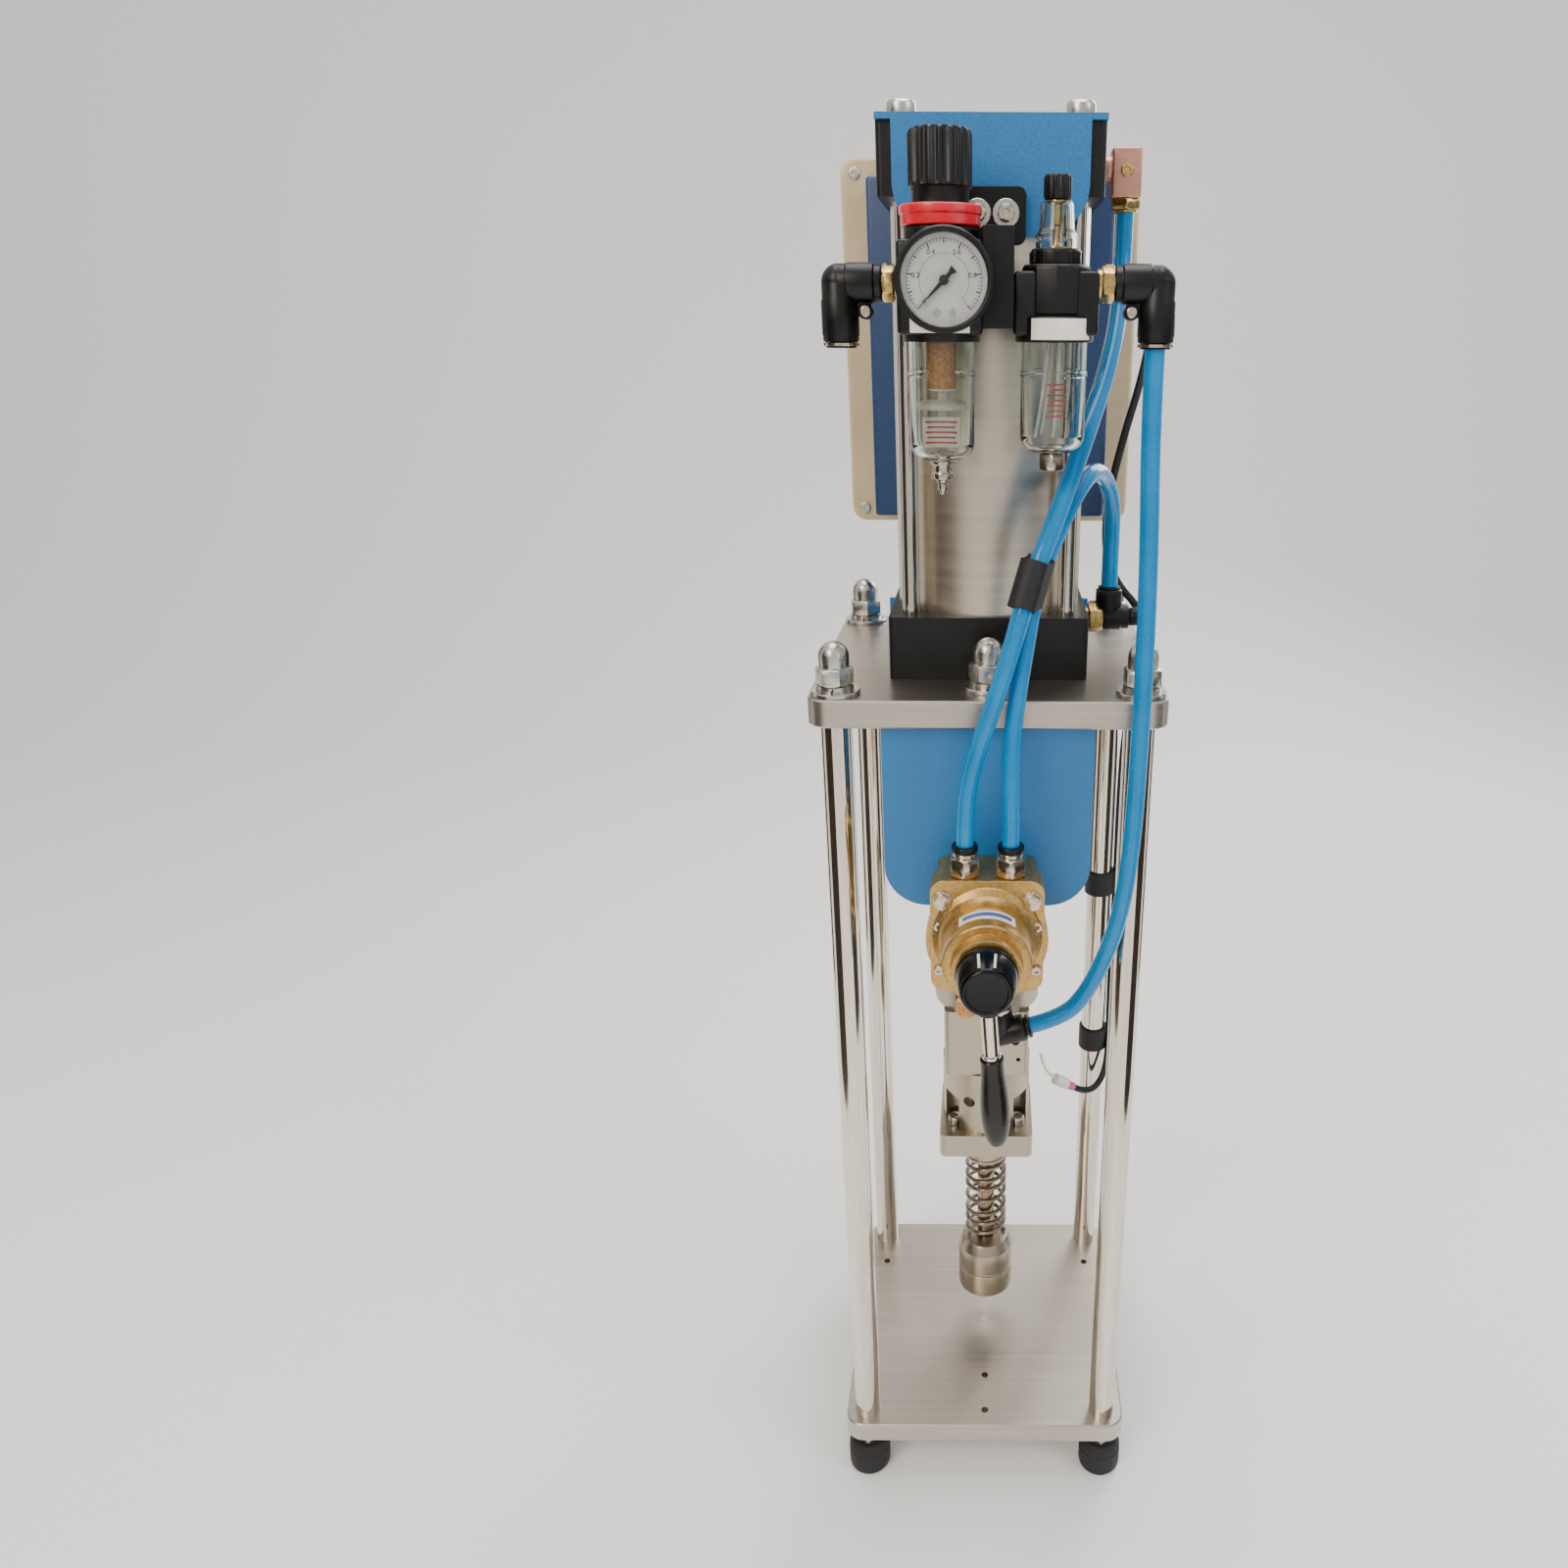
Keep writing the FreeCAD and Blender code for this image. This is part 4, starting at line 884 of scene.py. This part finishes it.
def flowControl(spec):
    x, z = spec["x"], spec["z"]
    stub = turned("flow_stub", ((6, 57), (6, 61.4)), (0, 0, z), (1, 0, 0), sides=40)
    dress(join("flow_hex", [stub, hexPrism("flow_hex", 17, (61, 0, z), (1, 0, 0), 9)]), machinedBrass)
    barrelPart = turned("flow_body", ((7.2, 70), (8, 70.6), (8, 80.5), (7.4, 81), (7.4, 85.4), (6.8, 86),
        (2.7, 86), (2.7, 78)), (0, 0, z), (1, 0, 0), sides=48)
    dress(join("flow_body", [barrelPart, turned("flow_leg",
        ((7.6, 0), (7.6, 6), (8, 6.6), (8, 16.4), (7.2, 17.2), (5.6, 17.2), (5.6, 12)), (x, 0, z), sides=48)]),
        blackNylon, "flow_control")
    dress(turned("flow_collet", ((5.5, -8), (5.5, 0), (6.8, 0.2), (6.8, 1.2), (5.2, 1.4), (5.2, -8), (5.5, -8)),
        (x, 0, spec["mouth"] - 1.5), sides=40, ring=True, bevel=0), blackNylon)
    screw = turned("flow_knob", ((2.5, 77), (2.5, 86.3), (5.1, 86.4), (5.5, 87), (5.5, 95), (5.0, 95.8),
        (2, 96), (2, 95), (0.2, 95)), (0, 0, z), (1, 0, 0), sides=40, bevel=0)
    ridges = []
    for turn in range(0, 360, 20):
        angle = radians(turn)
        py, pz = 5.25 * cos(angle), z + 5.25 * sin(angle)
        ridges.append(block("ridge", (87.4, py - 0.25, pz - 0.25), (94.6, py + 0.25, pz + 0.25), 0.1, 1))
    dress(join("flow_knob", [screw] + ridges), blackNylon, "flow_screw", body="flow_adjuster")


flowControl(flowValve)
print("ports made")


# ---- hand valve

valve = {"z": 414.0, "cover": -127.0, "boss": -159.0, "neck": -166.5, "topHex": (-12.6, 12.9),
    "fittingY": -118.0}


def valveCover(spec):
    z = spec["z"]
    easedCopy("valve_cover", 1.0, goldCasting)
    depth = -spec["boss"]
    profile = ((31.5, 126.5), (30.5, 128), (27.2, 129.6), (25.2, 132.5), (24.5, 136), (24.5, 139),
        (24.2, 139.4), (24.2, 150.6), (24.5, 151), (24.5, depth - 0.8), (23.7, depth), (22.4, depth),
        (22.0, depth - 1), (20.2, depth - 1), (19.6, depth - 0.2), (19.5, 165.8), (18.8, 166.5), (14, 166.5),
        (13.4, 165.5), (6.4, 165.5), (6.4, 126.5), (31.5, 126.5))
    dress(turned("valve_boss", profile, (0, 0, z), (0, -1, 0), 96, 0.12, True), goldCasting)
    for name, low, high, arc, paint in (("boss_label", 140.6, 150.0, 40, labelPaper),
            ("boss_label_band", 143.2, 147.0, 33, blueInk)):
        r = 24.28 if paint is labelPaper else 24.46
        patch = turned(name, ((r, low), (r, high)), (0, 0, z), (0, -1, 0), 120, 0, True)
        reach = cos(radians(arc)) * r * mm
        pick(patch, "FACE", lambda middle, normal: middle.z - z * mm < reach)
        bpy.ops.mesh.delete(type="FACE")
        leave()
        useModifier(patch, "SOLIDIFY", {"thickness": 0.12 * mm, "offset": 0})
        dress(soften(patch, 0), paint)


valveCover(valve)

hub = {"back": 167.0, "front": 187.0, "wide": 17.0, "narrow": 13.5}


def leverHub(spec):
    back, front = spec["back"], spec["front"]
    wide, narrow = spec["wide"], spec["narrow"]
    profile = ((6, 100), (6, back - 0.4), (wide - 1.2, back), (wide, back + 0.8), (wide, back + 3.4),
        (wide - 0.5, back + 3.8), (wide - 0.5, back + 4.6), (wide - 0.3, back + 5), (narrow + 0.9, front - 2),
        (narrow, front - 0.5), (narrow - 0.8, front), (narrow - 2.2, front), (narrow - 2.6, front - 0.7),
        (0.2, front - 0.7))
    body = turned("hub_body", profile, (0, 0, valve["z"]), (0, -1, 0), 96, 0.15)
    dress(join("hub_body", [body, turned("lever_boss", ((6.6, 11), (6.4, 16.6), (5.6, 17.4)),
        (0, -177, valve["z"]), (sin(radians(3.5)), 0, -cos(radians(3.5))), 40)]), glossPhenolic, "lever_hub",
        body="lever")
    slope = atan2(wide - narrow - 1.1, front - back - 7)
    for index, tilt in enumerate((-16, 16)):
        mark = block(f"hub_mark_{index}", (-0.7, -5.5, -0.05), (0.7, 5.5, 0.12), 0.05, 1)
        mark.rotation_euler = (slope, 0, 0)
        mark.location = (0, -(back + 11.5) * mm, (wide + narrow + 0.6) / 2 * mm)
        settle(mark)
        mark.rotation_euler = (0, radians(tilt), 0)
        mark.location = (0, 0, valve["z"] * mm)
        dress(settle(mark), labelPaper, body="lever")


leverHub(hub)

grip = {"top": 369.0, "low": 311.0, "lean": 3.5}


def leverGrip(spec):
    lean = radians(spec["lean"])
    along = (sin(lean), 0, -cos(lean))
    base = Vector((0, -177, valve["z"]))
    first, last = valve["z"] - spec["top"], valve["z"] - spec["low"]
    profile = [(4.6, first + 1), (4.6, first), (5.9, first), (6.5, first + 0.9), (6.3, first + 5)]
    for share, radius in ((0.2, 6.5), (0.32, 7.1), (0.44, 7.8), (0.56, 8.2), (0.68, 8.1), (0.8, 7.4),
            (0.9, 6.2), (0.965, 4.4), (1.0, 1.8)):
        profile.append((radius, first + (last - first) * share))
    dress(turned("grip_body", profile, base, along, 64, 0), wornGrip, "lever_grip", body="lever")
    dress(turned("grip_ferrule", ((4.6, first - 2.4), (5.4, first - 2.0), (5.4, first - 0.2), (4.6, first)),
        base, along, 48, 0.1), chromeBar, body="lever")


leverGrip(grip)


def valveFittings(spec):
    y = spec["fittingY"]
    for index, x in enumerate(spec["topHex"]):
        nut = hexPrism(f"top_hex_{index}", 15.6, (x, y, 449.4), (0, 0, 1), 11)
        dress(join(f"top_fitting_{index}", [nut, turned(f"top_neck_{index}",
            ((6.8, 448.6), (6.8, 461), (7.4, 461.6), (7.4, 463), (6.9, 463.4)), (x, y, 0), sides=48)]),
            nickelPlate, *firstOnly(index, "valve_fittings"))
        dress(turned(f"top_collet_{index}", ((5.6, 461), (5.6, 463.4), (7.2, 463.8), (7.5, 464.4), (7.5, 466.2),
            (7.0, 467), (5.2, 467), (5.2, 461), (5.6, 461)), (x, y, 0), sides=48, ring=True, bevel=0),
            blackNylon)
    stem = turned("supply_stem", ((6.3, 368), (6.3, 379.4)), (8, y, 0), sides=40)
    dress(join("supply_hex", [stem, hexPrism("supply_hex", 13, (8, y, 360), (0, 0, 1), 8.6)]), nickelPlate)
    leg = turned("supply_leg", ((7.6, 343), (7.6, 357), (7.2, 360.4)), (8, y, 0), sides=48)
    begin()
    bpy.ops.mesh.primitive_uv_sphere_add(segments=36, ring_count=18, radius=7.9 * mm,
        location=(8 * mm, y * mm, 344.8 * mm))
    corner = settle(bpy.context.object)
    run = Vector((18, 0, 5.4)).normalized()
    dress(join("supply_elbow", [leg, corner, turned("supply_arm",
        ((7.7, 0), (7.7, 7), (8, 8), (8, 14.6), (7.4, 15.6), (5.6, 15.6), (5.6, 10)), (8, y, 344.6), run,
        sides=48)]), blackNylon)
    dress(turned("supply_collet", ((5.5, 10), (5.5, 16.4), (7.0, 16.8), (7.0, 18.2), (6.6, 18.7), (5.2, 18.7),
        (5.2, 10), (5.5, 10)), (8, y, 344.6), run, sides=40, ring=True, bevel=0), blackNylon)
    dress(turned("silencer", ((2.5, 357), (5.2, 358), (6, 360), (6, 368.6)), (-12, y, 0), sides=40),
        sinteredBronze)
    cap = hexPrism("silencer_hex", 11.8, (-12, y, 368), (0, 0, 1), 8)
    dress(join("silencer_hex", [cap, turned("silencer_thread", ((4.8, 375), (4.8, 380)), (-12, y, 0),
        sides=32)]), machinedBrass)


valveFittings(valve)

screws = {"cover": ((-27, 421), (28, 421), (-27, 393), (28, 393)), "bolts": (-25, 25), "boltZ": 437.0,
    "tee": (-6.5, 7.5), "teeZ": 785.0, "teeFace": -65.0, "middle": (517.5, 7.5, 568)}


def coverScrews(spec):
    y = valve["cover"]
    for index, (x, z) in enumerate(spec["cover"]):
        dress(socketScrew(f"cover_screw_{index}", 3.0, 2.0, (x, y, z), (0, -1, 0), 0.52), zincSteel,
            *firstOnly(index, "assembly_screws"))
    for index, x in enumerate(spec["bolts"]):
        bolt = hexPrism(f"cover_bolt_{index}", 8.8, (x, y - 0.8, spec["boltZ"]), (0, -1, 0), 3.0)
        dress(join(f"cover_bolt_{index}", [bolt, turned(f"bolt_washer_{index}",
            ((5.6, 0), (5.6, 0.7), (5.2, 0.9)), (x, y, spec["boltZ"]), (0, -1, 0), sides=40, bevel=0.1)]),
            nickelPlate, slot="zinc_steel")
    low, height, end = spec["middle"]
    head = hexPrism("middle_bolt", acorn["flats"], (0, acorn["middle"], low), (0, 0, 1), height)
    dress(join("middle_bolt", [head, turned("middle_stud", ((6, low + 6.5), (6, end - 0.4), (5.5, end)),
        (0, acorn["middle"], 0), sides=32)]), zincSteel)
    for index, x in enumerate(spec["tee"]):
        dress(turned(f"tee_washer_{index}", ((2.6, 0), (6.4, 0), (6.6, 0.3), (6.6, 1.2), (6.3, 1.5), (2.6, 1.5),
            (2.6, 0)), (x, spec["teeFace"], spec["teeZ"]), (0, -1, 0), sides=48, ring=True, bevel=0), zincSteel)
        dress(socketScrew(f"tee_screw_{index}", 4.2, 3.9, (x, spec["teeFace"] - 1.5, spec["teeZ"]), (0, -1, 0),
            0.5), nickelPlate, slot="zinc_steel")


coverScrews(screws)
print("valve made")


# ---- head, plunger and spring

flangeScrew = {"x": 22.5, "y": 17.0, "seat": 201.0, "radius": 5.0, "height": 6.0}


def flangeScrews(spec):
    for index, (sx, sy) in enumerate(((-1, -1), (-1, 1), (1, -1), (1, 1))):
        dress(socketScrew(f"flange_screw_{index}", spec["radius"], spec["height"],
            (sx * spec["x"], sy * spec["y"], spec["seat"]), (0, 0, 1), 0.5), zincSteel,
            *firstOnly(index, "flange_screws"), body="ram")


flangeScrews(flangeScrew)

dress(turned("collar_body", ((6.3, 160), (11.0, 160), (15.2, 160.3), (16.0, 161.2), (16.0, 163), (14.8, 163.6),
    (14.8, 176), (16.5, 177), (16.5, 182.4), (16.2, 183), (6.3, 183), (6.3, 160)), ring=True, sides=72),
    milledBlock, "guide_collar", body="ram", slot="chrome_steel")

dress(turned("cup_body", ((14, 61), (14, 40), (14.9, 39), (19.9, 39), (20.5, 39.6), (20.5, 57.6), (20.1, 58),
    (19.3, 58.2), (19.3, 60.8), (20.1, 61), (20.5, 61.4), (20.5, 77.4), (20.1, 78), (17.6, 84.4), (17.0, 85),
    (8.5, 85), (7.9, 84.4), (6.3, 84.4), (6.3, 62.4), (0.2, 62.4)), sides=96, bevel=0.12), milledBlock,
    "plunger_cup", body="plunger", slot="barrel_aluminium")

spring = {"low": 86.7, "high": 158.3, "radius": 14.0, "wire": 1.6, "turns": 7, "steps": 28}


def plungerSpring(spec):
    data = bpy.data.curves.new("coil", "CURVE")
    data.dimensions = "3D"
    line = data.splines.new("NURBS")
    count = spec["turns"] * spec["steps"]
    line.points.add(count)
    for index, point in enumerate(line.points):
        share = index / count
        angle = 2 * pi * index / spec["steps"]
        eased = share + 0.045 * sin(4 * pi * (share - 0.5)) / 2
        point.co = (spec["radius"] * cos(angle) * mm, spec["radius"] * sin(angle) * mm,
            (spec["low"] + (spec["high"] - spec["low"]) * eased) * mm, 1)
    line.order_u = 4
    line.use_endpoint_u = True
    line.resolution_u = 2
    data.bevel_depth = spec["wire"] * mm
    data.bevel_resolution = 5
    data.use_fill_caps = True
    coil = bpy.data.objects.new("coil", data)
    bpy.context.scene.collection.objects.link(coil)
    focus(coil)
    bpy.ops.object.convert(target="MESH")
    made = soften(bpy.context.object, 0)
    dress(made, springSteel, "plunger_spring", body="plunger")
    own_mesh(made)


plungerSpring(spring)
print("head made")


# ---- enclosure behind the cylinder

cabinet = {"half": 74.0, "front": 62.0, "back": 116.0, "low": 619.0, "top": 816.0, "backHalf": 95.0,
    "backLow": 608.0, "backTop": 832.0, "backFace": 124.0, "gland": (74.0, 100.0, 748.0)}


def enclosureParts(spec):
    back = spec["back"]
    h = spec["half"]
    # shell and rim take the blue coat darkened to navy with painted shade
    dress(block("cabinet_shell", (-h, spec["front"], spec["low"]), (h, back - 5, spec["top"]), 2.5, 4),
        shadedBlueCoat, "enclosure_box")
    dress(block("cabinet_rim", (-h, back - 4.2, spec["low"]), (h, back, spec["top"]), 1.0, 2), shadedBlueCoat)
    dress(block("cabinet_seal", (-h + 1, back - 5.2, spec["low"] + 1), (h - 1, back - 4, spec["top"] - 1), 0.2,
        1), feetRubber)
    low, top, b = spec["backLow"], spec["backTop"], spec["backHalf"]
    panel = block("cabinet_back", (-b, back, low), (b, spec["backFace"], top), 0)

    def isCorner(co):
        return abs(abs(co.x) - b * mm) < 1e-5 and min(abs(co.z - low * mm), abs(co.z - top * mm)) < 1e-5

    pick(panel, "EDGE", isCorner)
    bpy.ops.mesh.bevel(offset=10 * mm, segments=8, affect="EDGES")
    leave()
    dress(soften(panel, 2.2, 4), creamPaint, "enclosure_back")
    for index, (x, z) in enumerate(((-1, low + 9), (1, low + 9), (-1, top - 9), (1, top - 9))):
        dress(socketScrew(f"cabinet_screw_{index}", 3.6, 1.6, (x * (b - 9), back, z), (0, -1, 0), 0.4),
            zincSteel)
    face = spec["backFace"]
    groove = block("cabinet_groove", (-b + 16, face - 0.8, low + 16), (b - 16, face + 1, top - 16), 0.6, 2)
    inner = block("groove_inner", (-b + 18, face - 2, low + 18), (b - 18, face + 2, top - 18), 0.6, 2)
    carve(panel, carve(groove, inner))
    for row in range(6):
        level = low + 40 + row * 7
        carve(panel, block("vent", (-30, face - 3, level - 1.3), (30, face + 2, level + 1.3), 1.2, 3))
    places = ((-70, 640), (70, 640), (-70, 800), (70, 800))
    for px, pz in places:
        carve(panel, turned("bore", ((5, -1.2), (5, 1)), (px, face, pz), (0, 1, 0), 36, 0))
    soften(panel, 0)
    for index, (px, pz) in enumerate(places):
        dress(turned(f"back_screw_{index}", ((4.4, -1), (4.4, -0.5), (3.6, -0.1), (2.2, -0.1), (2.0, -0.9),
            (0.2, -0.9)), (px, face, pz), (0, 1, 0), 36, 0.1), zincSteel)
    x, y, z = spec["gland"]
    base = hexPrism("gland_hex", 11.6, (x - 0.5, y, z), (1, 0, 0), 4)
    dress(join("gland_hex", [base, turned("gland_dome", ((5.2, 3), (5.2, 6), (4.4, 7.4), (3.0, 8), (2.6, 8)),
        (x, y, z), (1, 0, 0), sides=40)]), blackNylon)


enclosureParts(cabinet)


# ---- sensor cable and its connector

cable = cordCurve("sensor_cable_skin", cableRoute, cableSize["diameter"])
dress(cable, cableSkin, "sensor_cable")
plug = {"length": 20.95}


def connector(spec):
    length = spec["length"]
    start, end = Vector(cableRoute[-1]), Vector(leadRoute[0])
    along = (end - start).normalized()
    sleeve = turned("cable_sleeve", ((2.7, 0.2), (3.2, 0.6), (3.3, 1.4), (3.2, 7.4), (3.0, 8.4)), start, along,
        36)
    dress(sleeve, pinkSleeve)
    body = turned("plug_body", ((4.0, 7.6), (4.6, 8.2), (4.8, 9.4), (4.8, length - 1.2), (4.4, length - 0.4)),
        start, along, 8, 0.3)
    latch = turned("plug_latch", ((1.6, 10), (1.6, 17), (1.2, 17.6)), start + Vector((0, -3.6, 0.6)), along, 4,
        0.2)
    dress(join("plug_body", [body, latch, turned("plug_nose", ((3.6, length - 1), (3.6, length), (1.6, length)),
        start, along, 8, 0.1)]), whiteNylon, "cable_connector")
    lead = cordCurve("plug_lead", leadRoute, cableSize["leadDiameter"])
    dress(lead, whiteNylon)
    return [sleeve, bpy.data.objects["plug_body"], lead]


plugPieces = connector(plug)
print("cable made")


# ---- stage

studio = {"floor": -52, "floorSize": 9, "back": 2.6, "key": 26, "fill": 14, "top": 22, "rim": 16}


def areaLight(name, at, target, size, power, colour):
    data = bpy.data.lights.new(name, "AREA")
    data.shape = "RECTANGLE"
    data.size, data.size_y = size
    data.energy = power
    data.color = linear(colour)[:3]
    lamp = bpy.data.objects.new(name, data)
    bpy.context.scene.collection.objects.link(lamp)
    lamp.location = at
    lamp.rotation_euler = (Vector(target) - Vector(at)).to_track_quat("-Z", "Y").to_euler()


def reflectorCard(name, at, target, size, colour):
    # a dark card that only reflections see, so that bright bars keep their contrast
    begin()
    bpy.ops.mesh.primitive_plane_add(size=1)
    card = bpy.context.object
    card.name = name
    card.scale = (size[0], size[1], 1)
    card.rotation_euler = (Vector(target) - Vector(at)).to_track_quat("Z", "Y").to_euler()
    card.location = at
    paint = bpy.data.materials.new(name)
    paint.use_nodes = True
    paint.node_tree.nodes["Principled BSDF"].inputs["Base Color"].default_value = linear(colour)
    paint.node_tree.nodes["Principled BSDF"].inputs["Roughness"].default_value = 0.9
    card.data.materials.append(paint)
    card.visible_camera = False
    card.visible_shadow = False
    card.visible_diffuse = False


def makeStage(spec):
    begin()
    size = spec["floorSize"]
    bpy.ops.mesh.primitive_plane_add(size=size, location=(0, spec["back"] - size / 2, spec["floor"] * mm))
    floor = settle(bpy.context.object)
    floor.name = "floor"
    pick(floor, "EDGE", lambda co: co.y > spec["back"] - 0.01)
    bpy.ops.mesh.extrude_region_move(TRANSFORM_OT_translate={"value": (0, 0, 5)})
    leave()
    pick(floor, "EDGE", lambda co: abs(co.y - spec["back"]) < 0.01 and co.z < 0.1)
    bpy.ops.mesh.bevel(offset=1.2, segments=24, affect="EDGES")
    leave()
    soften(floor, 0)
    paint = bpy.data.materials.new("floorPaint")
    paint.use_nodes = True
    shader = paint.node_tree.nodes["Principled BSDF"]
    shader.inputs["Base Color"].default_value = linear("#f3f2f0")
    shader.inputs["Roughness"].default_value = 0.8
    floor.data.materials.append(paint)
    world = bpy.data.worlds.new("studio")
    world.use_nodes = True
    world.node_tree.nodes["Background"].inputs["Color"].default_value = linear("#f4f3f1")
    world.node_tree.nodes["Background"].inputs["Strength"].default_value = 0.85
    bpy.context.scene.world = world
    areaLight("key", (-1.1, -1.5, 1.7), (0, 0, 0.4), (0.9, 1.2), spec["key"], "#fff3e4")
    areaLight("fill", (1.5, -1.0, 1.0), (0, 0, 0.4), (0.7, 1.4), spec["fill"], "#f2f6ff")
    areaLight("top", (0, 0.2, 2.2), (0, 0, 0.4), (1.2, 1.2), spec["top"], "#ffffff")
    areaLight("rim", (0.9, 1.4, 1.3), (0, 0, 0.5), (0.8, 1.2), spec["rim"], "#ffffff")
    reflectorCard("cardLeft", (-0.46, -0.30, 0.40), (0, 0, 0.40), (0.46, 1.1), "#2c231a")
    reflectorCard("cardRight", (0.46, -0.26, 0.40), (0, 0, 0.40), (0.42, 1.1), "#282119")
    reflectorCard("cardFar", (0.70, 0.25, 0.40), (0, 0, 0.40), (0.30, 1.1), "#5b6670")
    reflectorCard("cardBack", (-0.66, 0.30, 0.40), (0, 0, 0.40), (0.30, 1.1), "#4c4a46")


makeStage(studio)
print("stage made")
